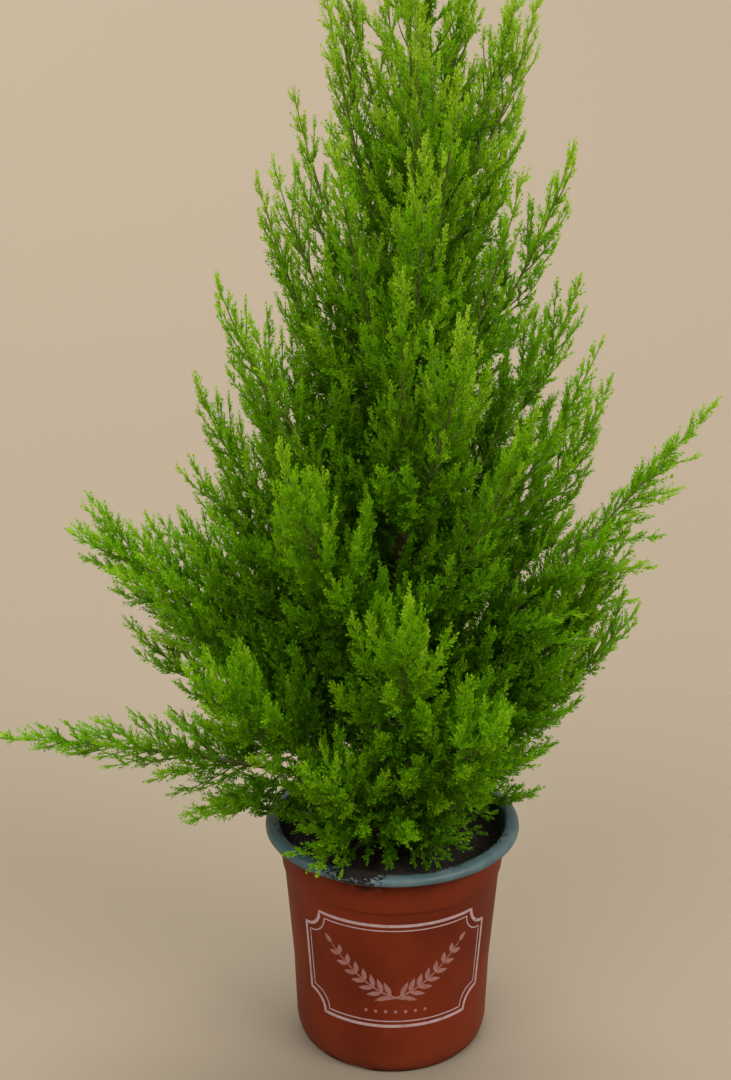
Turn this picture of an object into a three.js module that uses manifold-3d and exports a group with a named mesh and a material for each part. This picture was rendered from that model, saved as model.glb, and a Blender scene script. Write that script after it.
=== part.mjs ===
// A potted lemon cypress: a narrow, lime-green evergreen in a round nursery pot.
// One leaning trunk runs up through tiers of ascending boughs, each ending in a mass of feathery sprays.
// Millimetres, +Z up. The origin is the centre of the pot's flat underside, and -Y is the front.

import * as THREE from "three";
import { mergeVertices } from "three/addons/utils/BufferGeometryUtils.js";
import Module from "manifold-3d";

const wasm = await Module();
wasm.setup();

const { lerp, clamp, degToRad } = THREE.MathUtils;
const UP = new THREE.Vector3(0, 0, 1);
const RIGHT = new THREE.Vector3(1, 0, 0);
const GOLDEN_ANGLE = degToRad(137.508);
const SEAM = 0.3; // the gap between pieces that touch

// The pot: a thin tapering wall with a shoulder below its rolled rim, on a foot cut by drainage notches
const POT = { height: 176, floor: 5, sides: 32 };
const RIM = { radius: 95, inner: 83.9, bottom: 170, round: 3, dish: 1.5 };
const POT_OUTSIDE = [
  [67, 0],
  [71, 3.5],
  [73.2, 11],
  [75, 62],
  [81.2, 140],
  [82.6, 142.5],
  [85.4, RIM.bottom - SEAM],
]; // radius and height, from the foot to the underside of the rim
const POT_INSIDE = [
  [69.5, POT.floor],
  [73.5, 62],
  [79.7, 140],
  [RIM.inner, RIM.bottom - SEAM],
];
const FEET = { notches: 8, wide: 15, high: 3.2, inner: 54, outer: 80 };
const DRAIN = { radius: 4, from: 61, sides: 8 };
const PEAT = { edge: 160, middle: 164, mound: 14, slope: 56 };

// The trunk: a taper from a flared root to a thin tip, leaning to the right
const TRUNK = { foot: PEAT.middle + SEAM, tip: 778, radius: 6.6, tipRadius: 1.2, taper: 0.85, sides: 8, rings: 12 };
const ROOT_FLARE = { extra: 4.2, fade: 9, crowding: 1.8 };
const LEAN = { across: 20, power: 1.15, bow: 4 };

// Boughs leave the trunk in tiers. Bearings are degrees from +X, start and tip are heights, reach is from the trunk.
// enter is the share of a bough that is bare limb; where it is 0 the foliage starts at the trunk itself.
const TIERS = [
  { name: "skirt", count: 5, bearing: 10, start: 174, tip: 193, reach: 112, enter: 0, girth: 1.8, spray: 52 },
  { name: "low", count: 5, bearing: 183, start: 190, tip: 266, reach: 166, enter: 0.24, girth: 3.2, spray: 90 },
  { name: "wide", count: 5, bearing: 5, start: 218, tip: 326, reach: 172, enter: 0.24, girth: 3.2, spray: 94 },
  { name: "middle", count: 4, bearing: 176, start: 250, tip: 408, reach: 160, enter: 0.24, girth: 3, spray: 98 },
  { name: "high", count: 5, bearing: 30, start: 318, tip: 494, reach: 144, enter: 0.22, girth: 2.7, spray: 96 },
  { name: "upper", count: 4, bearing: 14, start: 400, tip: 580, reach: 124, enter: 0, girth: 2.2, spray: 92 },
  { name: "crown", count: 4, bearing: 354, start: 490, tip: 660, reach: 98, enter: 0, girth: 1.9, spray: 82 },
  { name: "top", count: 4, bearing: 2, start: 592, tip: 752, reach: 60, enter: 0, girth: 1.6, spray: 72 },
];
const STRAY = { bearing: 10, start: 9, tip: 12, reach: 0.05 };
const BEND = [0.68, 0.3]; // where a bough's control point lies, as shares of its reach and rise
// Boughs that stand out of the even cone, or stay short in front
const NOTABLE = {
  skirt_1: { bearing: 7, reach: 112, tip: 190 },
  skirt_3: { bearing: 187, reach: 136, tip: 200 },
  skirt_4: { bearing: 236, reach: 103, start: 178, tip: 180, bend: [0.6, 6] },
  skirt_5: { bearing: 300, reach: 68, tip: 186 },
  low_1: { bearing: 183, reach: 286, tip: 246, bend: [0.5, 0.8] },
  low_2: { bearing: 250, reach: 136, tip: 268 },
  low_3: { bearing: 312, reach: 106, tip: 302 },
  middle_1: { bearing: 176, reach: 230, tip: 396, start: 236, bend: [0.5, 0.6] },
  high_1: { bearing: 26, reach: 174 },
  high_5: { bearing: 357, reach: 216, tip: 493, start: 256, bend: [0.5, 0.42] },
  crown_1: { reach: 108, tip: 662 },
  crown_3: { reach: 90 },
  top_1: { reach: 76 },
  top_3: { reach: 52 },
};
const LEADER = { height: 870, lean: 5, girth: 1.2, spray: 60 };
const LIMB = { sides: 5, rings: 2 };

// Foliage: a three-sided stem, and toothed sprays set round it at the golden angle, thickest near their roots
const STEM = { start: 2.3, end: 1.3, reaches: 0.8, sides: 3, rings: 3 };
const SPRAY = {
  count: 12,
  first: 0.12, // shares of the bough at which the first and the last side spray grow
  last: 0.74,
  nearAngle: 60, // degrees from the stem, at the first spray and at the last
  farAngle: 32,
  roll: 0.6, // most stray from the golden angle, in radians
  taper: 0.48, // how much shorter the last is
  varies: 0.24, // spread of the lengths
  lift: 0.12, // how much a spray turns up
  sunk: 0.02, // how far the tip spray's root is sunk in the stem, as a share of the bough
  shrinks: [1, 0.82, 0.66, 0.52], // lengths that are tried, until one fits
};
// A spray's shape, as shares of its length: half width, thickness, the place of its ridge and of its teeth
const BLADE = { width: 0.42, thick: 0.085, ridge: 0.15, narrows: 0.6, pitch: 0.78, tooth: 0.14, notch: 0.04, waist: 0.4 };
const SPACE = { between: 1.2, limb: 1.5, pot: 1.2, root: 0.2 };
const SEEDS = { boughs: 1000, sprays: 7000 };

const RED_PLASTIC = new THREE.MeshStandardMaterial({ color: 0x8a3420, roughness: 0.5, metalness: 0 });
const TEAL_PLASTIC = new THREE.MeshStandardMaterial({ color: 0x5f8080, roughness: 0.45, metalness: 0 });
const DARK_PEAT = new THREE.MeshStandardMaterial({ color: 0x18120d, roughness: 0.95, metalness: 0 });
const BARK = new THREE.MeshStandardMaterial({ color: 0x6d4a2c, roughness: 0.85, metalness: 0 });
const LIME_FOLIAGE = new THREE.MeshStandardMaterial({ color: 0x6f9a1c, roughness: 0.6, metalness: 0 });

// A repeatable stream of numbers from 0 to 1
function seeded(seed) {
  let state = seed >>> 0;
  return () => {
    state = (Math.imul(state, 1664525) + 1013904223) >>> 0;
    return state / 4294967296;
  };
}

// A list made by calling make(0), make(1) and so on
function times(count, make) {
  return Array.from({ length: count }, (_, k) => make(k));
}

// A closed geometry as a solid
function solidOf(geometry) {
  const bare = geometry.clone();
  bare.deleteAttribute("normal");
  bare.deleteAttribute("uv");
  const merged = mergeVertices(bare, 1e-4);
  const vertProperties = new Float32Array(merged.getAttribute("position").array);
  const triVerts = new Uint32Array(merged.index.array);
  return new wasm.Manifold(new wasm.Mesh({ numProp: 3, vertProperties, triVerts }));
}

// The largest body of a solid as a geometry, with its sealed hollows filled and loose scraps dropped
function geometryOf(solid) {
  const bodies = solid.decompose();
  const body = bodies.reduce((best, other) => (other.volume() > best.volume() ? other : best));
  const mesh = body.getMesh();
  const geometry = new THREE.BufferGeometry();
  geometry.setAttribute("position", new THREE.BufferAttribute(new Float32Array(mesh.vertProperties), 3));
  geometry.setIndex(new THREE.BufferAttribute(new Uint32Array(mesh.triVerts), 1));
  geometry.computeVertexNormals();
  return geometry;
}

function named(name, geometry, material) {
  const mesh = new THREE.Mesh(geometry, material);
  mesh.name = name;
  return mesh;
}

// A round solid about +Z from a profile of [radius, height] points
function turned(profile, sides) {
  const points = profile.map(([radius, height]) => new THREE.Vector2(radius, height));
  return new THREE.LatheGeometry(points, sides).rotateX(Math.PI / 2);
}

// Radius of the pot's inner face at a height
function innerRadius(height) {
  const above = Math.max(1, POT_INSIDE.findIndex(([, z]) => z >= height));
  const [low, high] = [POT_INSIDE[above - 1], POT_INSIDE[above]];
  return lerp(low[0], high[0], (height - low[1]) / (high[1] - low[1]));
}

// The wall and floor in one, with a notch across the foot at each drain hole
function potWall() {
  const profile = [[0, 0], ...POT_OUTSIDE, ...POT_INSIDE.toReversed(), [0, POT.floor]];
  let wall = solidOf(turned(profile, POT.sides));
  for (let k = 0; k < FEET.notches; k++) {
    const turn = (2 * Math.PI * (k + 0.5)) / FEET.notches;
    const notch = new THREE.BoxGeometry(FEET.outer - FEET.inner, FEET.wide, 2 * FEET.high);
    notch.translate((FEET.outer + FEET.inner) / 2, 0, 0).rotateZ(turn);
    const drain = new THREE.CylinderGeometry(DRAIN.radius, DRAIN.radius, 4 * POT.floor, DRAIN.sides);
    drain.rotateX(Math.PI / 2).translate(DRAIN.from, 0, 0).rotateZ(turn);
    wall = wall.subtract(solidOf(notch)).subtract(solidOf(drain));
  }
  return geometryOf(wall);
}

// The rim: a rolled lip that stands out past the wall and closes it on top
function potRim() {
  const rolled = times(4, (k) => {
    const turn = (k / 3) * (Math.PI / 2);
    const radius = RIM.radius - RIM.round * (1 - Math.cos(turn));
    return [radius, POT.height - RIM.round * (1 - Math.sin(turn))];
  });
  const start = [RIM.inner, RIM.bottom];
  const inside = [RIM.inner + RIM.dish, POT.height - RIM.dish / 2];
  return turned([start, [RIM.radius, RIM.bottom], ...rolled, inside, start], POT.sides);
}

// The root ball: it fills the pot to a little below the rim and rises to the trunk
function peat() {
  const bottom = POT.floor + SEAM;
  const heights = [bottom, ...POT_INSIDE.slice(1, -1).map(([, height]) => height), PEAT.edge];
  const profile = heights.map((height) => [innerRadius(height) - 1.4 * SEAM, height]);
  const mound = [
    [PEAT.slope, (PEAT.edge + PEAT.middle) / 2],
    [PEAT.mound, PEAT.middle],
  ];
  return turned([[0, bottom], ...profile, ...mound, [0, PEAT.middle]], POT.sides);
}

// The trunk's centre line: it leans to the right and bows a little to the back
class TrunkLine extends THREE.Curve {
  getPoint(share, target = new THREE.Vector3()) {
    const across = LEAN.across * share ** LEAN.power;
    const back = LEAN.bow * Math.sin(Math.PI * share);
    return target.set(across, back, lerp(TRUNK.foot, TRUNK.tip, share));
  }
}
const trunkLine = new TrunkLine();

function trunkShare(height) {
  return clamp((height - TRUNK.foot) / (TRUNK.tip - TRUNK.foot), 0, 1);
}

function trunkRadius(share) {
  const height = share * (TRUNK.tip - TRUNK.foot);
  const taper = TRUNK.tipRadius + (TRUNK.radius - TRUNK.tipRadius) * (1 - share) ** TRUNK.taper;
  return taper + ROOT_FLARE.extra * Math.exp(-height / ROOT_FLARE.fade);
}

// A tapering limb: a cylinder whose rings are laid along a curve. side is level and square to the curve.
function limb(curve, side, shareOf, radiusOf, sides, rings) {
  const geometry = new THREE.CylinderGeometry(1, 1, 1, sides, rings);
  const position = geometry.getAttribute("position");
  const corner = new THREE.Vector3();
  for (let i = 0; i < position.count; i++) {
    corner.fromBufferAttribute(position, i);
    const share = shareOf(corner.y + 0.5);
    const along = curve.getTangent(share);
    const normal = new THREE.Vector3().crossVectors(side, along).normalize();
    const radius = radiusOf(share);
    const place = curve.getPoint(share).addScaledVector(side, corner.x * radius);
    place.addScaledVector(normal, corner.z * radius);
    position.setXYZ(i, place.x, place.y, place.z);
  }
  return geometry;
}

// The trunk, with its rings crowded towards the root flare. extra makes it fatter, to cut what must stay clear of it.
function trunk(extra = 0) {
  const crowded = (share) => share ** ROOT_FLARE.crowding;
  const radius = (share) => trunkRadius(share) + extra;
  return limb(trunkLine, RIGHT, crowded, radius, TRUNK.sides, TRUNK.rings);
}
const trunkClear = solidOf(trunk(1.4 * SEAM));

// A bough's curve from the trunk's centre to its tip, and what it carries
function boughFrom(name, tier, size) {
  const bearing = degToRad(size.bearing);
  const outward = new THREE.Vector3(Math.cos(bearing), Math.sin(bearing), 0);
  const root = trunkLine.getPoint(trunkShare(size.start));
  const [outwardShare, riseShare] = size.bend ?? BEND;
  const control = root.clone().addScaledVector(outward, outwardShare * size.reach);
  control.z += riseShare * (size.tip - size.start);
  const tip = root.clone().addScaledVector(outward, size.reach);
  tip.z = size.tip;
  const curve = new THREE.QuadraticBezierCurve3(root, control, tip);
  const side = new THREE.Vector3(-outward.y, outward.x, 0);
  return { name, curve, side, enter: tier.enter, girth: tier.girth, spray: tier.spray };
}

// Every bough of every tier, each a little off the even places. The skirt lies close over the rim, so its
// heights don't stray.
function planBoughs() {
  return TIERS.flatMap((tier, level) =>
    times(tier.count, (k) => {
      const name = `${tier.name}_${k + 1}`;
      const random = seeded(SEEDS.boughs * (level + 1) + k);
      const stray = (most) => (2 * random() - 1) * most;
      const steady = tier.name === "skirt" ? 0 : 1;
      const even = {
        bearing: tier.bearing + (360 * k) / tier.count + stray(STRAY.bearing),
        start: tier.start + stray(STRAY.start) * steady,
        tip: tier.tip + stray(STRAY.tip) * steady,
        reach: tier.reach * (1 + stray(STRAY.reach)),
      };
      return boughFrom(name, tier, { ...even, ...NOTABLE[name] });
    }),
  );
}

// The leader carries the trunk's line on to the top of the tree
function planLeader() {
  const root = trunkLine.getPoint(1).addScaledVector(UP, SEAM);
  const tip = new THREE.Vector3(root.x + LEADER.lean, root.y, LEADER.height);
  const curve = new THREE.QuadraticBezierCurve3(root, root.clone().lerp(tip, 0.5), tip);
  return { name: "leader", curve, side: RIGHT, enter: 0, girth: LEADER.girth, spray: LEADER.spray };
}

const boughs = [...planBoughs(), planLeader()];
const limbed = boughs.filter((bough) => bough.enter > 0);

// Points along part of a curve
function pointsAlong(curve, from, to, steps) {
  return times(steps + 1, (k) => curve.getPoint(lerp(from, to, k / steps)));
}

// The line that a mass of foliage gathers round, and the bare limbs that foliage keeps off
for (const bough of boughs) bough.axis = pointsAlong(bough.curve, Math.max(bough.enter, 0.08), 1, 8);
for (const bough of limbed) bough.bare = pointsAlong(bough.curve, 0, bough.enter, 5);

function boughLimb(bough) {
  const shareOf = (v) => v * bough.enter;
  const radiusOf = (share) => lerp(bough.girth, STEM.start, share / bough.enter);
  const solid = solidOf(limb(bough.curve, bough.side, shareOf, radiusOf, LIMB.sides, LIMB.rings));
  return geometryOf(solid.subtract(trunkClear));
}

// Distance from a point to a line of points
function distanceTo(line, point) {
  const segment = new THREE.Line3();
  const nearest = new THREE.Vector3();
  let best = Infinity;
  for (let i = 1; i < line.length; i++) {
    segment.set(line[i - 1], line[i]).closestPointToPoint(point, true, nearest);
    best = Math.min(best, nearest.distanceTo(point));
  }
  return best;
}

function clearOfLimbs(point) {
  const share = trunkShare(point.z);
  const centre = trunkLine.getPoint(share);
  const off = Math.hypot(point.x - centre.x, point.y - centre.y);
  if (point.z < TRUNK.tip && off < trunkRadius(share) + SPACE.limb) return false;
  return limbed.every((bough) => distanceTo(bough.bare, point) > bough.girth + SPACE.limb);
}

// Above the rim, or over the peat inside it, or out past the rim
function clearOfPot(point) {
  const radius = Math.hypot(point.x, point.y);
  const overPeat = radius < innerRadius(PEAT.edge) - 2 * SPACE.pot;
  const floor = overPeat ? PEAT.middle : POT.height;
  return point.z > floor + SPACE.pot || radius > RIM.radius + SPACE.pot;
}

// Each mass keeps to the points that lie nearer to its own line than to any other
function inOwnSpace(point, bough) {
  const own = distanceTo(bough.axis, point) + SPACE.between;
  return boughs.every((other) => other === bough || own < distanceTo(other.axis, point));
}

// The outline of a spray lying flat: a toothed blade, narrow at its root and drawn out to a tip
function sprayOutline(length, teeth) {
  const edge = times(teeth, (k) => {
    const share = (k + 1) / (teeth + 1);
    const spread = BLADE.width * length * (1 - BLADE.narrows * share);
    const tooth = [spread, length * (share * BLADE.pitch + BLADE.tooth)];
    const notch = [spread * BLADE.waist, length * (share * BLADE.pitch + BLADE.notch)];
    return [tooth, notch];
  }).flat();
  const mirrored = edge.map(([x, y]) => [-x, y]).reverse();
  return [[0, 0], ...edge, [0, length], ...mirrored].map(([x, y]) => new THREE.Vector2(x, y));
}

// A closed form over an outline: a sphere of two rows, its middle ring moved to the outline, its poles to a ridge
function ridged(outline, ridge, thick) {
  const geometry = new THREE.SphereGeometry(1, outline.length, 2);
  const position = geometry.getAttribute("position");
  const columns = outline.length + 1;
  for (let i = 0; i < position.count; i++) {
    const row = Math.floor(i / columns);
    const { x, y } = row === 1 ? outline[(i % columns) % outline.length] : ridge;
    position.setXYZ(i, x, y, ((1 - row) * thick) / 2);
  }
  return geometry;
}

// The pose of a spray: rooted at start, growing along direction, flat across normal
function sprayPose(start, direction, normal) {
  const along = direction.clone().normalize();
  const across = new THREE.Vector3().crossVectors(along, normal).normalize();
  const flat = new THREE.Vector3().crossVectors(across, along);
  return new THREE.Matrix4().makeBasis(across, along, flat).setPosition(start);
}

function spraySolid(length, teeth, pose) {
  const ridge = new THREE.Vector2(0, BLADE.ridge * length);
  return solidOf(ridged(sprayOutline(length, teeth), ridge, BLADE.thick * length).applyMatrix4(pose));
}

// Points of a spray that are tested against its space: its edge, halfway along each side of it, and its middle line
function sprayProbes(length, teeth, pose) {
  const outline = sprayOutline(length, teeth);
  const halfway = outline.map((point, i) => point.clone().lerp(outline[(i + 1) % outline.length], 0.5));
  const middle = times(10, (k) => new THREE.Vector2(0, (length * k) / 10));
  const beyondRoot = [...outline, ...halfway, ...middle].filter(({ y }) => y > SPACE.root * length);
  return beyondRoot.map(({ x, y }) => new THREE.Vector3(x, y, 0).applyMatrix4(pose));
}

// Where spray k of a mass grows: spaced along the stem, turned by the golden angle, shorter and closer near the tip
function sprayPlan(bough, start, k, random) {
  const along = (k + 0.5) / SPRAY.count;
  const share = lerp(Math.max(start + SPRAY.sunk, SPRAY.first), SPRAY.last, along);
  const forward = bough.curve.getTangent(share);
  const normal = new THREE.Vector3().crossVectors(bough.side, forward).normalize();
  const roll = k * GOLDEN_ANGLE + random() * SPRAY.roll;
  const angle = degToRad(lerp(SPRAY.nearAngle, SPRAY.farAngle, along));
  const outward = bough.side.clone().multiplyScalar(Math.cos(roll)).addScaledVector(normal, Math.sin(roll));
  const direction = forward.clone().multiplyScalar(Math.cos(angle)).addScaledVector(outward, Math.sin(angle));
  direction.addScaledVector(UP, SPRAY.lift).normalize();
  const length = bough.spray * (1 - SPRAY.taper * along) * (1 + SPRAY.varies * (random() - 0.5));
  return { length, pose: sprayPose(bough.curve.getPoint(share), direction, forward) };
}

// A spray at its full length, or shorter where that is what its space has room for; none where even that fails
function fittedSpray(bough, { length, pose }, teeth) {
  for (const shrink of SPRAY.shrinks) {
    const probes = sprayProbes(length * shrink, teeth, pose);
    const fits = probes.every((p) => clearOfPot(p) && clearOfLimbs(p) && inOwnSpace(p, bough));
    if (fits) return spraySolid(length * shrink, teeth, pose);
  }
  return null;
}

// A mass of foliage: a stem with its sprays fused on, and a long spray that ends at the bough's tip
function foliage(bough, seed) {
  const random = seeded(seed);
  const start = bough.enter > 0 ? bough.enter + SEAM / bough.curve.getLength() : 0;
  const shareOf = (v) => lerp(start, STEM.reaches, v);
  const radiusOf = (share) => lerp(STEM.start, STEM.end, share);
  const pieces = [solidOf(limb(bough.curve, bough.side, shareOf, radiusOf, STEM.sides, STEM.rings))];
  for (let k = 0; k < SPRAY.count; k++) {
    const spray = fittedSpray(bough, sprayPlan(bough, start, k, random), k % 3 ? 1 : 2);
    if (spray) pieces.push(spray);
  }
  const root = bough.curve.getPoint(STEM.reaches - SPRAY.sunk);
  const toTip = bough.curve.getPoint(1).sub(root);
  pieces.push(spraySolid(toTip.length(), 2, sprayPose(root, toTip, bough.side)));
  const solid = wasm.Manifold.union(pieces);
  return geometryOf(bough.enter > 0 ? solid : solid.subtract(trunkClear));
}

const pot = new THREE.Group();
pot.add(named("pot_wall", potWall(), RED_PLASTIC));
pot.add(named("pot_rim", potRim(), TEAL_PLASTIC));
pot.add(named("peat", peat(), DARK_PEAT));

const wood = new THREE.Group();
wood.add(named("trunk", trunk(), BARK));
for (const bough of limbed) wood.add(named(`bough_${bough.name}`, boughLimb(bough), BARK));

const crown = new THREE.Group();
boughs.forEach((bough, k) => {
  crown.add(named(`foliage_${bough.name}`, foliage(bough, SEEDS.sprays + k), LIME_FOLIAGE));
});

const plant = new THREE.Group();
plant.add(pot, wood, crown);

export default plant;
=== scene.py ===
"""The looks of a potted conifer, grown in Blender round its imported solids.

The trunk and boughs get bark relief. Each mass of foliage grows again by the source's own rule, carried on
to plumes, shoots and single leaves. The pot, its printed badge and the peat are finer meshes of the same
sizes. Sizes in the classes are in millimetres. Meshes are in metres, in the solids' own frame.
"""

from __future__ import annotations

import logging
import math
from dataclasses import dataclass, field, replace
from enum import Enum

import bmesh
import bpy
import numpy as np
from bpy.types import Material, Object
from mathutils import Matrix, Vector, noise
from numpy.random import Generator

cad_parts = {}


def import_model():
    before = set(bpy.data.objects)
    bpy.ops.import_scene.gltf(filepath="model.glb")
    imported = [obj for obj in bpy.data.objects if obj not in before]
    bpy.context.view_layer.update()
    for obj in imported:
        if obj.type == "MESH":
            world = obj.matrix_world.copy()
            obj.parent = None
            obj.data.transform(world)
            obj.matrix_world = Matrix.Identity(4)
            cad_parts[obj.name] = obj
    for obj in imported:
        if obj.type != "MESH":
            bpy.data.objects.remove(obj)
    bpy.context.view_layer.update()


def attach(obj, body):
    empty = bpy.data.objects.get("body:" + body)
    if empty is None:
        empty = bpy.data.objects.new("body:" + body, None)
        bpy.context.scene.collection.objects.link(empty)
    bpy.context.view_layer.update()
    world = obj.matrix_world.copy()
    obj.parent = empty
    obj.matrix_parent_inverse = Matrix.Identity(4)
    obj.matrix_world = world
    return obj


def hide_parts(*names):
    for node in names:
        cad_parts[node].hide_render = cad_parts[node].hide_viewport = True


log = logging.getLogger("potted_conifer")

MM = 0.001
UP = np.array([0.0, 0.0, 1.0])
CIRCLE = 2 * math.pi
GOLDEN_ANGLE = math.radians(137.508)
SEAM = 0.3  # the gap that the source leaves between solids that meet

Shape = tuple[np.ndarray, list]  # vertices in millimetres, and faces as lists of their numbers
Stroke = tuple[np.ndarray, np.ndarray]  # a flat line, and its width at each point


def lerp(low: float, high: float, share: float) -> float:
    """The value a share of the way from low to high."""
    return low + (high - low) * share


def unit(vectors: np.ndarray) -> np.ndarray:
    """Vectors scaled to length 1, one or a row of them."""
    return vectors / np.maximum(np.linalg.norm(vectors, axis=-1, keepdims=True), 1e-12)


def read_off(table: tuple, places: np.ndarray | float) -> np.ndarray | float:
    """The values of a table of (place, value) pairs at places."""
    rows = np.array(table)
    return np.interp(places, rows[:, 0], rows[:, 1])


def srgb(red: int, green: int, blue: int) -> tuple[float, float, float, float]:
    """A screen colour of 0 to 255 as the linear colour that a shader takes.

    Args:
        red: The red, from 0 to 255.
        green: The green.
        blue: The blue.

    Returns:
        The linear colour.
    """

    def linear(value: int) -> float:
        """One channel of it."""
        share = value / 255
        return share / 12.92 if share <= 0.04045 else ((share + 0.055) / 1.055) ** 2.4

    return linear(red), linear(green), linear(blue), 1.0


# Nodes


class Wire:
    """The output of a node. Arithmetic on it adds Math nodes."""

    def __init__(self, bench: Bench, socket: bpy.types.NodeSocket) -> None:
        """Keeps the socket and the bench whose tree it is in."""
        self.bench = bench
        self.socket = socket

    def _maths(self, operation: str, first: Wire | float, second: Wire | float) -> Wire:
        """A Math node on two values."""
        return self.bench.node("ShaderNodeMath", {"operation": operation}, {0: first, 1: second})

    def __add__(self, other: Wire | float) -> Wire:
        """self + other."""
        return self._maths("ADD", self, other)

    __radd__ = __add__

    def __sub__(self, other: Wire | float) -> Wire:
        """self - other."""
        return self._maths("SUBTRACT", self, other)

    def __rsub__(self, other: float) -> Wire:
        """other - self."""
        return self._maths("SUBTRACT", other, self)

    def __mul__(self, other: Wire | float) -> Wire:
        """self * other."""
        return self._maths("MULTIPLY", self, other)

    __rmul__ = __mul__

    def __abs__(self) -> Wire:
        """The value without its sign."""
        return self.bench.node("ShaderNodeMath", {"operation": "ABSOLUTE"}, {0: self})

    def clamped(self) -> Wire:
        """The value kept within 0 and 1."""
        return self.bench.node("ShaderNodeClamp", {}, {0: self})


class Bench:
    """Adds nodes to one tree."""

    def __init__(self, tree: bpy.types.NodeTree) -> None:
        """Works on the given tree."""
        self.tree = tree

    def node(
        self, kind: str, settings: dict | None = None, sockets: dict | None = None, out: int | str = 0
    ) -> Wire:
        """Adds a node.

        Args:
            kind: The node's type name.
            settings: Its own settings, set first. "stops" gives a colour ramp's (place, colour) pairs.
            sockets: Values or wires for its inputs, by index, identifier or name.
            out: The output to return, by index or name.

        Returns:
            The chosen output.
        """
        node = self.tree.nodes.new(kind)
        for name, value in (settings or {}).items():
            if name == "stops":
                self._set_stops(node.color_ramp, value)
            else:
                setattr(node, name, value)
        for key, value in (sockets or {}).items():
            socket = self._input(node, key)
            if isinstance(value, Wire):
                self.tree.links.new(value.socket, socket)
            else:
                socket.default_value = value
        return Wire(self, node.outputs[out])

    @staticmethod
    def _set_stops(ramp: bpy.types.ColorRamp, stops: list) -> None:
        """Sets a colour ramp's stops.

        Args:
            ramp: The ramp.
            stops: Pairs of place and colour.
        """
        while len(ramp.elements) < len(stops):
            ramp.elements.new(1.0)
        for element, (place, colour) in zip(ramp.elements, stops, strict=True):
            element.position = place
            element.color = colour

    @staticmethod
    def _input(node: bpy.types.Node, key: int | str) -> bpy.types.NodeSocket:
        """An input by index, identifier or name."""
        if isinstance(key, int):
            return node.inputs[key]
        return next((s for s in node.inputs if s.identifier == key), None) or node.inputs[key]


class FinishBench(Bench):
    """Adds the nodes of one material, round a Principled shader."""

    def __init__(self, name: str) -> None:
        """Makes the material with its shader and output.

        Args:
            name: The material's name.
        """
        self.material = bpy.data.materials.new(name)
        self.material.use_nodes = True
        super().__init__(self.material.node_tree)
        self.tree.nodes.clear()
        self.shader = self.tree.nodes.new("ShaderNodeBsdfPrincipled")
        self.output = self.tree.nodes.new("ShaderNodeOutputMaterial")
        self.tree.links.new(self.shader.outputs[0], self.output.inputs["Surface"])

    def set(self, **values: object) -> None:
        """Sets the shader's own sockets, written with _ for a space."""
        for name, value in values.items():
            socket = self.shader.inputs[name.replace("_", " ")]
            if isinstance(value, Wire):
                self.tree.links.new(value.socket, socket)
            else:
                socket.default_value = value

    def place(self, stretch: tuple[float, float, float] = (1, 1, 1)) -> Wire:
        """Object coordinates in metres, stretched along the axes."""
        coordinates = self.node("ShaderNodeTexCoord", out="Object")
        return self.node("ShaderNodeMapping", {}, {"Vector": coordinates, "Scale": stretch})

    def grain(
        self, scale: float, detail: float = 3, roughness: float = 0.55, place: Wire | None = None
    ) -> Wire:
        """Noise from 0 to 1. scale is in grains for each metre."""
        where = place or self.place()
        sockets = {"Vector": where, "Scale": scale, "Detail": detail, "Roughness": roughness}
        return self.node("ShaderNodeTexNoise", {}, sockets)

    def between(self, value: Wire, low: float, high: float) -> Wire:
        """A mask that rises smoothly from 0 at low to 1 at high."""
        settings = {"interpolation_type": "SMOOTHSTEP"}
        return self.node("ShaderNodeMapRange", settings, {"Value": value, "From Min": low, "From Max": high})

    def along(self, axis: str) -> Wire:
        """The place along one axis in metres."""
        return self.node("ShaderNodeSeparateXYZ", {}, {0: self.place()}, out=axis)

    def mix(self, first: Wire | tuple, second: Wire | tuple, factor: Wire | float) -> Wire:
        """A colour between two colours."""
        settings = {"data_type": "RGBA"}
        return self.node("ShaderNodeMix", settings, {0: factor, "A_Color": first, "B_Color": second}, out=2)

    def relief(self, height: Wire, distance: float, strength: float = 1.0) -> None:
        """Bumps the shader's normal. distance is the relief's depth in metres."""
        sockets = {"Height": height, "Distance": distance, "Strength": strength}
        self.set(Normal=self.node("ShaderNodeBump", {}, sockets))


# Finishes


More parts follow.
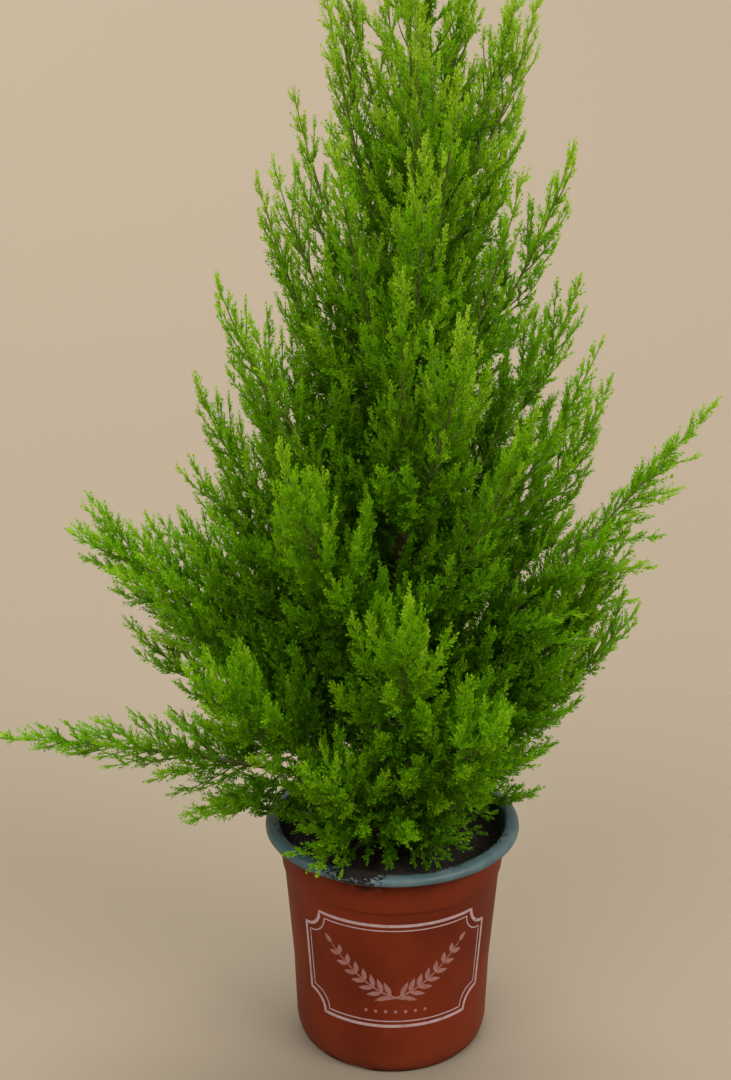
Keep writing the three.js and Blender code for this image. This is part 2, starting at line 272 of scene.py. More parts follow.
@dataclass(frozen=True)
class RedPlastic:
    """The pot's outside: terracotta-red plastic, a little scuffed, and soiled below the lip in front.

    clouds, streaks, grains, clods and specks are scales of noise, in grains for each metre. The other sizes
    are in metres.
    """

    name: str = "red_plastic"
    body: tuple = srgb(107, 40, 18)
    deep: tuple = srgb(88, 31, 14)
    dust: tuple = srgb(112, 60, 36)
    soil: tuple = srgb(30, 20, 14)
    clouds: float = 14
    streaks: float = 30
    grains: float = 260
    clods: float = 60
    specks: float = 190
    depth: float = 0.00012
    specular: float = 0.08
    dusty_to: float = 0.035
    splash: tuple = (0.001, 0.008)
    spill_left: float = 0.02
    spill_half: float = 0.026
    spill_heights: tuple = (0.15, 0.168)
    spill_front: tuple = (-0.06, -0.04)
    crumbled: tuple = (0.42, 0.56)

    def make(self) -> Material:
        """The material."""
        bench = FinishBench(self.name)
        cloud = bench.grain(self.clouds, 4)
        streaks = bench.grain(self.streaks, 5, 0.65, bench.place((1, 1, 0.12)))
        height = bench.along("Z")
        colour = bench.mix(self.deep, self.body, bench.between(cloud, 0.3, 0.68))
        foot = 1 - bench.between(height, 0.0, self.dusty_to)
        dusty = bench.between(streaks, 0.5, 0.82) * 0.16 + foot * 0.15
        colour = bench.mix(colour, self.dust, dusty.clamped())
        soiled = (self._spill(bench, height) + self._splash(bench, height)).clamped()
        colour = bench.mix(colour, self.soil, soiled)
        rough = streaks * 0.2 + 0.4 + soiled * 0.35
        bench.set(Base_Color=colour, Roughness=rough, Specular_IOR_Level=self.specular)
        bench.relief(bench.grain(self.grains, 3) + cloud * 2, self.depth)
        return bench.material

    def _splash(self, bench: FinishBench, height: Wire) -> Wire:
        """A mask of the soil that clings round the foot."""
        low = 1 - bench.between(height, *self.splash)
        return low * bench.between(bench.grain(self.clods, 5, 0.7), *self.crumbled) * 0.85

    def _spill(self, bench: FinishBench, height: Wire) -> Wire:
        """A mask of the soil washed down the wall below the front left of the lip.

        Args:
            bench: The material's nodes.
            height: The height in metres.

        Returns:
            The mask.
        """
        aside = abs(bench.along("X") + self.spill_left)
        beside = 1 - bench.between(aside, 0, self.spill_half)
        below = bench.between(height, *self.spill_heights)
        facing = 1 - bench.between(bench.along("Y"), *self.spill_front)
        specks = bench.between(bench.grain(self.specks, 4, 0.7), *self.crumbled)
        return beside * below * facing * specks * 0.95


@dataclass(frozen=True)
class TealPlastic:
    """The pot's lip and inside: dull blue-green plastic, paler where it is rubbed."""

    name: str = "teal_plastic"
    body: tuple = srgb(60, 81, 84)
    rubbed: tuple = srgb(102, 124, 125)
    soil: tuple = srgb(44, 36, 30)
    clouds: float = 26
    specks: float = 420
    grains: float = 300
    depth: float = 0.00012
    specular: float = 0.3

    def make(self) -> Material:
        """The material."""
        bench = FinishBench(self.name)
        cloud = bench.grain(self.clouds, 4)
        colour = bench.mix(self.body, self.rubbed, bench.between(cloud, 0.42, 0.75) * 0.6)
        specks = bench.between(bench.grain(self.specks, 3, 0.6), 0.64, 0.74) * 0.6
        colour = bench.mix(colour, self.soil, specks)
        bench.set(Base_Color=colour, Roughness=cloud * 0.24 + 0.34, Specular_IOR_Level=self.specular)
        bench.relief(bench.grain(self.grains, 2) + cloud * 2, self.depth)
        return bench.material


@dataclass(frozen=True)
class PrintInk:
    """The badge's ink: off-white with a rosy cast, thin where the wall shows through."""

    name: str = "print_ink"
    ink: tuple = srgb(166, 142, 144)
    worn: tuple = srgb(130, 80, 72)
    patches: float = 180
    grains: float = 700
    depth: float = 0.00004

    def make(self) -> Material:
        """The material."""
        bench = FinishBench(self.name)
        wear = bench.between(bench.grain(self.patches, 4, 0.7), 0.46, 0.72)
        bench.set(Base_Color=bench.mix(self.ink, self.worn, wear * 0.6), Roughness=wear * 0.2 + 0.4)
        bench.relief(bench.grain(self.grains, 2), self.depth)
        return bench.material


FRAME_INK = PrintInk()
FAINT_INK = PrintInk("faint_ink", srgb(142, 98, 92), srgb(112, 56, 44))


@dataclass(frozen=True)
class DarkPeat:
    """Moist black-brown peat with paler fibres."""

    name: str = "peat"
    body: tuple = srgb(30, 24, 19)
    fibre: tuple = srgb(66, 49, 34)
    lumps: float = 320
    fibres: float = 900
    grains: float = 1400
    depth: float = 0.0008
    specular: float = 0.25

    def make(self) -> Material:
        """The material."""
        bench = FinishBench(self.name)
        lumps = bench.grain(self.lumps, 6, 0.7)
        fibres = bench.between(bench.grain(self.fibres, 4, 0.7, bench.place((1, 0.25, 1))), 0.6, 0.74)
        colour = bench.mix(self.body, self.fibre, fibres * 0.7)
        bench.set(Base_Color=colour, Roughness=0.95 - lumps * 0.15, Specular_IOR_Level=self.specular)
        bench.relief(lumps * 2 + bench.grain(self.grains, 3), self.depth)
        return bench.material


@dataclass(frozen=True)
class Bark:
    """Thin red-brown bark that is furrowed along the limb, with painted shade in its furrows, greyer near
    the ground.
    """

    name: str = "bark"
    ridge: tuple = srgb(88, 62, 36)
    # Painted shade: the colour deep in the furrows
    furrow: tuple = srgb(42, 31, 19)
    weathered: tuple = srgb(88, 76, 58)
    furrows: float = 420
    flakes: float = 900
    depth: float = 0.0005
    weathered_to: tuple = (0.17, 0.26)

    def make(self) -> Material:
        """The material."""
        bench = FinishBench(self.name)
        furrows = bench.grain(self.furrows, 5, 0.65, bench.place((1, 1, 0.16)))
        flakes = bench.grain(self.flakes, 4, 0.6, bench.place((1, 1, 0.4)))
        # Painted shade: the furrow colour where the relief is low, the ridge colour where it is high
        colour = bench.mix(self.furrow, self.ridge, bench.between(furrows, 0.36, 0.62))
        low = 1 - bench.between(bench.along("Z"), *self.weathered_to)
        colour = bench.mix(colour, self.weathered, low * bench.between(flakes, 0.4, 0.7))
        bench.set(Base_Color=colour, Roughness=furrows * 0.2 + 0.7)
        bench.relief(furrows * 2 + flakes, self.depth)
        return bench.material


@dataclass(frozen=True)
class TwigSkin:
    """The skin of a young stem, with fine furrows."""

    name: str
    skin: tuple
    shade: tuple
    furrows: float = 700
    depth: float = 0.0002
    rough: float = 0.7

    def make(self) -> Material:
        """The material."""
        bench = FinishBench(self.name)
        furrows = bench.grain(self.furrows, 3, 0.6)
        colour = bench.mix(self.shade, self.skin, bench.between(furrows, 0.35, 0.62))
        bench.set(Base_Color=colour, Roughness=self.rough)
        bench.relief(furrows, self.depth)
        return bench.material


STEM_SKIN = TwigSkin("stem_skin", srgb(88, 98, 24), srgb(66, 66, 22))
PLUME_SKIN = TwigSkin("plume_skin", srgb(98, 138, 14), srgb(82, 108, 14))


@dataclass(frozen=True)
class Leaf:
    """A plain leaf colour with a little light through it."""

    name: str
    tint: tuple
    glow: tuple
    through: float = 0.3

    def make(self) -> Material:
        """The material."""
        bench = FinishBench(self.name)
        bench.set(Base_Color=self.tint, Roughness=0.6, Specular_IOR_Level=0.12)
        lit = bench.node("ShaderNodeBsdfTranslucent", {}, {"Color": self.glow})
        solid = Wire(bench, bench.shader.outputs[0])
        mixed = bench.node("ShaderNodeMixShader", {}, {0: self.through, 1: solid, 2: lit})
        bench.tree.links.new(mixed.socket, bench.output.inputs["Surface"])
        return bench.material


class Tint(Enum):
    """The leaf colours that are dealt out by spray, lit and shaded copies of one green: the darker ones are
    painted shade on the crown's inside, the brighter ones painted light on outer and high shoots; plume tips
    get brighter tints too.
    """

    DEEP = Leaf("leaf_deep", srgb(60, 104, 1), srgb(84, 131, 1))
    MOSS = Leaf("leaf_moss", srgb(72, 121, 1), srgb(100, 151, 1))
    GREEN = Leaf("leaf_green", srgb(86, 139, 1), srgb(116, 170, 1))
    GRASS = Leaf("leaf_grass", srgb(101, 156, 2), srgb(134, 188, 2))
    BRIGHT = Leaf("leaf_bright", srgb(115, 170, 5), srgb(149, 202, 4))
    LIME = Leaf("leaf_lime", srgb(133, 179, 22), srgb(162, 208, 16))
    FRESH = Leaf("leaf_fresh", srgb(149, 187, 40), srgb(178, 213, 32))


@dataclass(frozen=True)
class StudioFloor:
    """A pale matt floor."""

    name: str = "studio_floor"
    body: tuple = srgb(126, 115, 99)

    def make(self) -> Material:
        """The material."""
        bench = FinishBench(self.name)
        bench.set(Base_Color=self.body, Roughness=0.9, Specular_IOR_Level=0.1)
        return bench.material


# Meshes


class Piece:
    """Makes meshes and hands them to the frame."""

    @staticmethod
    def show(name: str, data: bpy.types.ID) -> Object:
        """Puts an object with some data in the scene."""
        obj = bpy.data.objects.new(name, data)
        bpy.context.scene.collection.objects.link(obj)
        return obj

    @staticmethod
    def mesh(name: str, points: np.ndarray, faces: list, materials: list) -> Object:
        """Makes an object of a smooth mesh.

        Args:
            name: The piece's name.
            points: Its vertices in millimetres.
            faces: Its faces, as lists of vertex numbers.
            materials: Its materials, in the order of its slots.

        Returns:
            The object, in the scene.
        """
        data = bpy.data.meshes.new(name)
        data.from_pydata((np.asarray(points) * MM).tolist(), [], faces)
        for material in materials:
            data.materials.append(material)
        data.polygons.foreach_set("use_smooth", [True] * len(data.polygons))
        data.update()
        return Piece.show(name, data)

    @staticmethod
    def tidy(obj: Object, sharp: float = 35) -> None:
        """Merges doubled vertices, turns the faces outwards and keeps edges sharper than an angle.

        Args:
            obj: The object.
            sharp: The angle in degrees.
        """
        shape = bmesh.new()
        shape.from_mesh(obj.data)
        bmesh.ops.remove_doubles(shape, verts=shape.verts, dist=1e-6)
        bmesh.ops.recalc_face_normals(shape, faces=shape.faces)
        for edge in shape.edges:
            edge.smooth = not (len(edge.link_faces) == 2 and edge.calc_face_angle(0) > math.radians(sharp))
        shape.to_mesh(obj.data)
        shape.free()

    @staticmethod
    def settle(obj: Object) -> Object:
        """Turns an object and its modifiers into a plain mesh object of the same name.

        Args:
            obj: The object, which is removed.

        Returns:
            The plain object.
        """
        graph = bpy.context.evaluated_depsgraph_get()
        result = obj.evaluated_get(graph)
        data = bpy.data.meshes.new_from_object(result, preserve_all_data_layers=True, depsgraph=graph)
        name = obj.name
        bpy.data.objects.remove(obj)
        data.name = name
        return Piece.show(name, data)

    @staticmethod
    def hand_over(obj: Object, slot: str | None = None, nodes: list[str] | None = None) -> None:
        """Lets a finished piece ride on the plant and stand for its solids.

        Args:
            obj: The piece.
            slot: It is not used.
            nodes: The solids that it stands for.
        """
        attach(obj, "root")
        if nodes:
            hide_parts(*nodes)
        log.info("%s: %d triangles", obj.name, len(obj.data.loops) - 2 * len(obj.data.polygons))


def joined(parts: list[Shape]) -> Shape:
    """The vertices and faces of several meshes as those of one.

    Args:
        parts: The vertices and faces of each.

    Returns:
        The vertices and faces of all.
    """
    points, faces, first = [], [], 0
    for made, skins in parts:
        faces += [[first + index for index in face] for face in skins]
        points.append(made)
        first += len(made)
    return np.vstack(points), faces


def hoops(bands: int, rings: int, sides: int) -> list[list[int]]:
    """The faces between successive rings of vertices.

    Args:
        bands: How many bands of faces there are.
        rings: How many rings there are. A band past the last of them ends at the first.
        sides: How many vertices a ring has.

    Returns:
        The faces, four-sided.
    """
    faces = []
    for row in range(bands):
        low, high = row * sides, (row + 1) % rings * sides
        for k in range(sides):
            step = (k + 1) % sides
            faces.append([low + k, low + step, high + step, high + k])
    return faces


def turned(profile: np.ndarray, sides: int) -> Shape:
    """A closed profile turned about the upright axis.

    Args:
        profile: Rows of radius and height round a closed section, or from the axis to the axis.
        sides: How many sides the turning has.

    Returns:
        The vertices and the faces.
    """
    turns = np.linspace(0, CIRCLE, sides, endpoint=False)
    rings = [np.column_stack([r * np.cos(turns), r * np.sin(turns), np.full(sides, z)]) for r, z in profile]
    bands = len(profile) if profile[0][0] > 0 else len(profile) - 1
    return np.vstack(rings), hoops(bands, len(profile), sides)


def tube(line: np.ndarray, radii: np.ndarray, sides: int, side: np.ndarray) -> Shape:
    """A closed tube round a line.

    Args:
        line: Points along the line.
        radii: The radius at each point and angle, rows by sides.
        sides: How many sides it has.
        side: A direction that stays square to the line.

    Returns:
        The vertices and the faces.
    """
    along = unit(np.gradient(line, axis=0))
    first = unit(side - along * (along @ side)[:, None])
    second = np.cross(along, first)
    turns = np.linspace(0, CIRCLE, sides, endpoint=False)
    ring = np.cos(turns)[None, :, None] * first[:, None] + np.sin(turns)[None, :, None] * second[:, None]
    points = (line[:, None] + ring * radii[:, :, None]).reshape(-1, 3)
    faces = hoops(len(line) - 1, len(line), sides)
    last = (len(line) - 1) * sides
    faces.append([sides - 1 - k for k in range(sides)])
    faces.append([last + k for k in range(sides)])
    return points, faces


# The pot


@dataclass
class Pot:
    """A round nursery pot: a tapering wall on notched feet, a rolled lip and a printed badge.

    outside, inside and lip are sections, as pairs of radius and height. lip_top counts the points of the
    lip's upper side. filled and heaped are the heights of the peat at the wall and in the middle.
    """

    outside: tuple = (
        (67, 0), (69.4, 0.7), (70.6, 2.2), (71.4, 4.2), (72.6, 8), (73.3, 12), (74.1, 35), (75, 62),
        (78.1, 101), (81.1, 139.2), (81.3, 140), (82.2, 141), (82.6, 142), (82.8, 143.4), (84.1, 156),
        (85.4, 169.7),
    )
    inside: tuple = ((83.9, 169.7), (81.8, 155), (79.7, 140), (73.5, 62), (70.2, 12), (68.6, 5))
    lip: tuple = (
        (83.9, 170), (84, 172.4), (84.3, 174), (85, 175.2), (86.2, 175.9), (88, 176.1), (90.2, 176.1),
        (92.2, 175.8), (93.7, 174.9), (94.7, 173.4), (95, 171.8), (94.8, 170.6), (94.1, 170), (90, 170),
        (86, 170),
    )
    lip_top: int = 11
    lip_radius: float = 95
    top: float = 176
    filled: float = 160
    heaped: float = 164
    sides: int = 144
    floor: float = 5
    notches: int = 8
    notch_wide: float = 15
    notch_high: float = 3.2
    notch_reach: tuple = (54, 80)
    notch_below: float = 4
    drain_radius: float = 4
    drain_from: float = 61
    drain_heights: tuple = (-5, 10)

    def inner_radius(self, height: float) -> float:
        """The radius of the pot's inner face at a height."""
        rising = self.inside[::-1]
        return float(np.interp(height, [z for _, z in rising], [r for r, _ in rising]))

    def outer_radius(self, height: np.ndarray) -> np.ndarray:
        """The radius of the pot's outer face at heights."""
        return np.interp(height, [z for _, z in self.outside], [r for r, _ in self.outside])

    def build(self, red: Material, teal: Material, inks: list) -> None:
        """Builds the wall, the lip and the badge.

        Args:
            red: The wall's plastic.
            teal: The lip's.
            inks: The badge's inks.
        """
        Piece.hand_over(self._wall(red, teal), "red_plastic", ["pot_wall"])
        points, faces = turned(np.array(self.lip), self.sides)
        lip = Piece.mesh("pot_lip", points, faces, [teal])
        Piece.tidy(lip, 50)
        Piece.hand_over(lip, "teal_plastic", ["pot_rim"])
        Piece.hand_over(Badge(self).build(inks))

    def _wall(self, red: Material, teal: Material) -> Object:
        """The wall and floor, red outside and teal inside, with the notches and drain holes cut.

        Args:
            red: The plastic outside.
            teal: The plastic inside.

        Returns:
            The wall.
        """
        under = [(0, 0), (30, 0), (54, 0)]
        profile = [*under, *self.outside, *self.inside, (40, self.floor), (0, self.floor)]
        points, faces = turned(np.array(profile, float), self.sides)
        wall = Piece.mesh("pot_shell", points, faces, [red, teal])
        Piece.tidy(wall)
        cutter = self._cutter()
        cut = wall.modifiers.new("notches", "BOOLEAN")
        cut.operation = "DIFFERENCE"
        cut.solver = "EXACT"
        cut.object = cutter
        wall = Piece.settle(wall)
        bpy.data.objects.remove(cutter)
        for face in wall.data.polygons:
            x, y, z = face.center
            inward = face.normal.x * x + face.normal.y * y < 0
            face.material_index = 1 if inward and z > self.floor * MM else 0
        Piece.tidy(wall)
        return wall

    def _cutter(self) -> Object:
        """The notches under the foot and the drain holes, as one mesh.

        Returns:
            The object that cuts them.
        """
        shape = bmesh.new()
        half = self.notch_wide / 2
        steps = np.linspace(0, math.pi, 11)
        arch = [(half * math.cos(step), self.notch_high * min(1, 1.4 * math.sin(step))) for step in steps]
        section = [(half, -self.notch_below), *arch, (-half, -self.notch_below)]
        turns = np.linspace(0, CIRCLE, 24, endpoint=False)
        for k in range(self.notches):
            turn = CIRCLE * (k + 0.5) / self.notches
            outward = np.array([math.cos(turn), math.sin(turn), 0])
            across = np.array([-outward[1], outward[0], 0])
            ends = [
                [outward * reach + across * u + UP * v for u, v in section] for reach in self.notch_reach
            ]
            self._prism(shape, ends)
            centre = outward * self.drain_from
            rim = [(outward * math.cos(a) + across * math.sin(a)) * self.drain_radius for a in turns]
            self._prism(shape, [[centre + point + UP * z for point in rim] for z in self.drain_heights])
        bmesh.ops.recalc_face_normals(shape, faces=shape.faces)
        data = bpy.data.meshes.new("pot_cutter")
        shape.to_mesh(data)
        shape.free()
        return Piece.show("pot_cutter", data)

    @staticmethod
    def _prism(shape: bmesh.types.BMesh, ends: list) -> None:
        """Adds a closed prism between two rings of points in millimetres.

        Args:
            shape: The mesh that gets it.
            ends: The two rings.
        """
        near, far = ([shape.verts.new(point * MM) for point in ring] for ring in ends)
        count = len(near)
        for k in range(count):
            step = (k + 1) % count
            shape.faces.new([near[k], near[step], far[step], far[k]])
        shape.faces.new(near[::-1])
        shape.faces.new(far)


@dataclass
class Badge:
    """The print on the pot's front: a double-line plaque with scooped corners round two crossed sprigs."""

    pot: Pot
    middle: float = 87
    bearing: float = -88.5
    half_wide: float = 73
    half_high: float = 43.5
    scoop: float = 15
    heavy: float = 2.3
    fine: float = 0.9
    gap: float = 4.2
    lift: float = 0.16
    sunk: float = 0.1
    sprig_root: tuple = (-8, -20)
    sprig_run: tuple = (56, 40)
    sprig_curl: float = 1.7
    sprig_points: int = 24
    sprig_widths: tuple = (1.5, 0.7)
    leaves: int = 7
    leaf_from: float = 0.2
    leaf_gap: float = 0.115
    leaf_angle: float = 42
    leaf_length: float = 12.5
    leaf_shrinks: float = 0.8
    leaf_off: float = 0.8
    leaf_widths: tuple = (0.25, 3.6)
    last_leaf: float = 8
    berries: int = 7
    berry_gap: float = 7.5
    berry_radius: float = 1.3
    berry_height: float = -31.0

    def build(self, inks: list) -> Object:
        """Builds the badge as thin raised ribbons, the frame in the first ink and the rest in the second.

        Args:
            inks: The two inks.

        Returns:
            The badge.
        """
        frame = [self._plaque(0, self.heavy), self._plaque(self.gap, self.fine)]
        motifs = [*self._sprig(1), *self._sprig(-1), *self._berries()]
        ribbons = [self._ribbon(line, widths) for line, widths in frame + motifs]
        points, faces = joined(ribbons)
        badge = Piece.mesh("pot_print", points, faces, inks)
        framed = sum(len(skins) for _, skins in ribbons[: len(frame)])
        badge.data.polygons.foreach_set("material_index", [int(k >= framed) for k in range(len(faces))])
        Piece.tidy(badge)
        return badge

    def _on_wall(self, flat: np.ndarray, lift: float) -> np.ndarray:
        """Places flat points of the badge on the wall, at a height above its surface.

        Args:
            flat: Rows of across and up from the badge's middle.
            lift: The height.

        Returns:
            The points.
        """
        height = self.middle + flat[:, 1]
        radius = self.pot.outer_radius(height) + lift
        turn = math.radians(self.bearing) + flat[:, 0] / self.pot.outer_radius(self.middle)
        return np.column_stack([radius * np.cos(turn), radius * np.sin(turn), height])

    def _ribbon(self, line: np.ndarray, widths: np.ndarray) -> Shape:
        """A closed strip of ink along a line, with a width at each point.

        Args:
            line: Flat points along its middle.
            widths: Its width at each.

        Returns:
            The vertices and the faces.
        """
        along = unit(np.gradient(line, axis=0))
        square = np.column_stack([-along[:, 1], along[:, 0]]) * widths[:, None] / 2
        rows = [
            self._on_wall(line + square, -self.sunk),
            self._on_wall(line - square, -self.sunk),
            self._on_wall(line - square, self.lift),
            self._on_wall(line + square, self.lift),
        ]
        points = np.stack(rows, axis=1).reshape(-1, 3)
        faces = []
        closed = np.linalg.norm(line[0] - line[-1]) < 1e-6
        for k in range(len(line) - 1):
            for side in range(4):
                step = (side + 1) % 4
                low, high = 4 * k, 4 * (k + 1)
                faces.append([low + side, high + side, high + step, low + step])
        if not closed:
            last = 4 * (len(line) - 1)
            faces += [[0, 1, 2, 3], [last + 3, last + 2, last + 1, last]]
        return points, faces

    def _plaque(self, inset: float, width: float) -> Stroke:
        """One line of the plaque's frame: a rectangle whose corners are scooped out by quarter circles.

        Args:
            inset: How far inside the outer line it is.
            width: Its width.

        Returns:
            The line and its widths.
        """
        wide, high, scoop = self.half_wide - inset, self.half_high - inset, self.scoop
        corners = [(1, 1, 270), (-1, 1, 360), (-1, -1, 90), (1, -1, 180)]
        path = []
        for across, up, start in corners:
            for turn in np.radians(np.linspace(start, start - 90, 9)):
                path.append((across * wide + scoop * math.cos(turn), up * high + scoop * math.sin(turn)))
        path.append(path[0])
        line = self._even(np.array(path), 2.0)
        line[-1] = line[0]
        return line, np.full(len(line), width)

    @staticmethod
    def _even(path: np.ndarray, step: float) -> np.ndarray:
        """A path with extra points, so that it follows the wall's curve.

        Args:
            path: The path's corners.
            step: The spacing of the points.

        Returns:
            The path with them.
        """
        rows = [path[:1]]
        for start, end in zip(path[:-1], path[1:], strict=True):
            count = max(1, round(np.linalg.norm(end - start) / step))
            rows.append(start + (end - start) * (np.arange(1, count + 1) / count)[:, None])
        return np.vstack(rows)

    def _sprig(self, hand: int) -> list[Stroke]:
        """A curved stem with paired leaves, leaning to one hand.

        Args:
            hand: 1 for the right, -1 for the left.

        Returns:
            Lines and their widths.
        """
        share = np.linspace(0, 1, self.sprig_points)
        (left, foot), (run, rise) = self.sprig_root, self.sprig_run
        stem = np.column_stack([hand * (left + run * share), foot + rise * share**self.sprig_curl])

        def at(place: float) -> np.ndarray:
            """The stem's point at a share of its length."""
            return np.array([np.interp(place, share, stem[:, axis]) for axis in range(2)])

        strokes = [(stem, np.linspace(*self.sprig_widths, self.sprig_points))]
        for k in range(self.leaves):
            place = self.leaf_from + self.leaf_gap * k
            root = at(place)
            ahead = unit(at(place + 0.05) - root)
            for side in (1, -1):
                angle = side * math.radians(self.leaf_angle)
                turn = np.array([[math.cos(angle), -math.sin(angle)], [math.sin(angle), math.cos(angle)]])
                length = self.leaf_length - self.leaf_shrinks * k
                strokes.append(self._blade(root, turn @ ahead, length))
        strokes.append(self._blade(stem[-1], unit(stem[-1] - stem[-3]), self.last_leaf))
        return strokes

    def _blade(self, root: np.ndarray, ahead: np.ndarray, length: float) -> Stroke:
        """One leaf: a stroke that swells in the middle."""
        share = np.linspace(0, 1, 10)
        least, most = self.leaf_widths
        line = root + np.outer(share * length + self.leaf_off, ahead)
        return line, least + most * np.sin(math.pi * share**0.85)

    def _berries(self) -> list[Stroke]:
        """A row of round dots along the foot of the plaque.

        Returns:
            Lines and their widths.
        """
        share = np.linspace(-1, 1, 9)
        widths = 0.05 + 2 * self.berry_radius * np.sqrt(np.maximum(0, 1 - share**2))
        half = self.berries // 2
        places = [k * self.berry_gap for k in range(-half, half + 1)]
        return [
            (np.column_stack([place + self.berry_radius * share, np.full(9, self.berry_height)]), widths)
            for place in places
        ]


# The peat


@dataclass
class RootBall:
    """The pot's filling of peat, rough on top and strewn with crumbs, some of them on the lip.

    heap and brim are the soil on the lip at the front left and along the front, each with its bearing and
    spread in degrees, its reach across the lip, and how much it crowds to the lip's inner edge.
    """

    pot: Pot
    bottom: float = 5.3
    play: float = 0.42
    mound: float = 14
    slope: float = 56
    sides: int = 128
    rings: int = 44
    rough: float = 2.25
    lump: float = 9
    crumb_kinds: int = 4
    crumbs: int = 1200
    spilled: int = 2300
    brimming: int = 1000
    loose: int = 420
    lip_from: float = 84
    heap: tuple = (252, 5.5)
    heap_reach: float = 11.5
    heap_crowd: float = 1.1
    brim: tuple = (274, 14)
    brim_reach: float = 4.6
    brim_crowd: float = 1.2
    seed: int = 31

    def build(self, peat: Material) -> None:
        """Builds the filling, its crumbs and the spill on the lip.

        Args:
            peat: The material of all.
        """
        Piece.hand_over(self._ball(peat), "peat", ["peat"])
        draws = np.random.default_rng(self.seed)
        Piece.hand_over(self._strew("peat_crumbs", self._top_places(draws), draws, peat), "peat")
        Piece.hand_over(self._strew("lip_crumbs", self._lip_places(draws), draws, peat), "peat")

    def surface(self, x: float, y: float) -> float:
        """The height of the peat's rough surface at a place.

        Args:
            x: How far right it is.
            y: How far back it is.

        Returns:
            The height.
        """
        radius = math.hypot(x, y)
        edge = self.pot.inner_radius(self.pot.filled)
        heights = [self.pot.heaped, (self.pot.filled + self.pot.heaped) / 2, self.pot.filled]
        smooth = np.interp(radius, [self.mound, self.slope, edge], heights)
        lumps = noise.turbulence(Vector((x / self.lump, y / self.lump, 3.1)), 4, False) - 0.8
        return float(smooth + self.rough * lumps * min(1, (edge - radius) / 6 + 0.25))

    def _ball(self, peat: Material) -> Object:
        """The filling: the pot's inner shape below and a rough mound above.

        Args:
            peat: Its material.

        Returns:
            The filling.
        """
        heights = (self.bottom, 30, 62, 100, 140, self.pot.filled - 2)
        profile = [(0.0, self.bottom)]
        profile += [(self.pot.inner_radius(height) - self.play, height) for height in heights]
        top = len(profile) * self.sides
        inward = np.linspace(self.pot.inner_radius(self.pot.filled) - self.play, 0, self.rings)
        profile += [(radius, self.pot.filled) for radius in inward[:-1]] + [(0.0, self.pot.heaped)]
        points, faces = turned(np.array(profile), self.sides)
        for row in points[top:]:
            row[2] = self.surface(row[0], row[1])
        ball = Piece.mesh("root_ball", points, faces, [peat])
        Piece.tidy(ball, 80)
        return ball

    def _top_places(self, draws: Generator) -> np.ndarray:
        """Places on the peat's surface, evenly strewn.

        Args:
            draws: Random draws.

        Returns:
            The places.
        """
        radius = (self.pot.inner_radius(self.pot.filled) - 1.2) * np.sqrt(draws.random(self.crumbs))
        turn = draws.random(self.crumbs) * CIRCLE
        x, y = radius * np.cos(turn), radius * np.sin(turn)
        return np.array([(a, b, self.surface(a, b)) for a, b in zip(x, y, strict=True)])

    def _lip_places(self, draws: Generator) -> np.ndarray:
        """Places on the lip: the heap at the front left, the brim along the front, and loose crumbs.

        Args:
            draws: Random draws.

        Returns:
            The places.
        """
        bearings = [
            draws.normal(*self.heap, self.spilled),
            draws.normal(*self.brim, self.brimming),
            draws.uniform(0, 360, self.loose),
        ]
        across = [
            self.heap_reach * draws.random(self.spilled) ** self.heap_crowd,
            self.brim_reach * draws.random(self.brimming) ** self.brim_crowd,
            draws.gamma(1.6, 0.9, self.loose),
        ]
        turn = np.radians(np.concatenate(bearings))
        radius = self.lip_from + np.concatenate(across)
        height = read_off(self.pot.lip[: self.pot.lip_top], radius)
        return np.column_stack([radius * np.cos(turn), radius * np.sin(turn), height])

    def _strew(self, name: str, places: np.ndarray, draws: Generator, peat: Material) -> Object:
        """Sets crumbs on places.

        Args:
            name: The piece's name.
            places: Where they lie.
            draws: Random draws.
            peat: Their material.

        Returns:
            The piece.
        """
        size = draws.gamma(2.2, 0.42, len(places)).clip(0.35, 2.6)
        turn = draws.uniform(0, CIRCLE, (len(places), 3))
        kinds = draws.integers(0, self.crumb_kinds, len(places))
        lumps = Sprinkler.forms(name, [self._crumb(kind) for kind in range(self.crumb_kinds)])
        return Sprinkler(name, lumps, [peat]).sow(name, places, turn, size, kinds, np.zeros(len(places)))

    @staticmethod
    def _crumb(seed: int) -> Shape:
        """A lump of peat about one millimetre across, with 20 faces.

        Args:
            seed: The number of its form.

        Returns:
            The vertices and the faces.
        """
        draws = np.random.default_rng(400 + seed)
        shape = bmesh.new()
        bmesh.ops.create_icosphere(shape, subdivisions=1, radius=0.55)
        stretch = draws.uniform(0.6, 1.25, 3)
        points = np.array([np.array(v.co) * stretch * draws.uniform(0.75, 1.2) for v in shape.verts])
        faces = [[v.index for v in f.verts] for f in shape.faces]
        shape.free()
        return points, faces


# Geometry nodes for what repeats


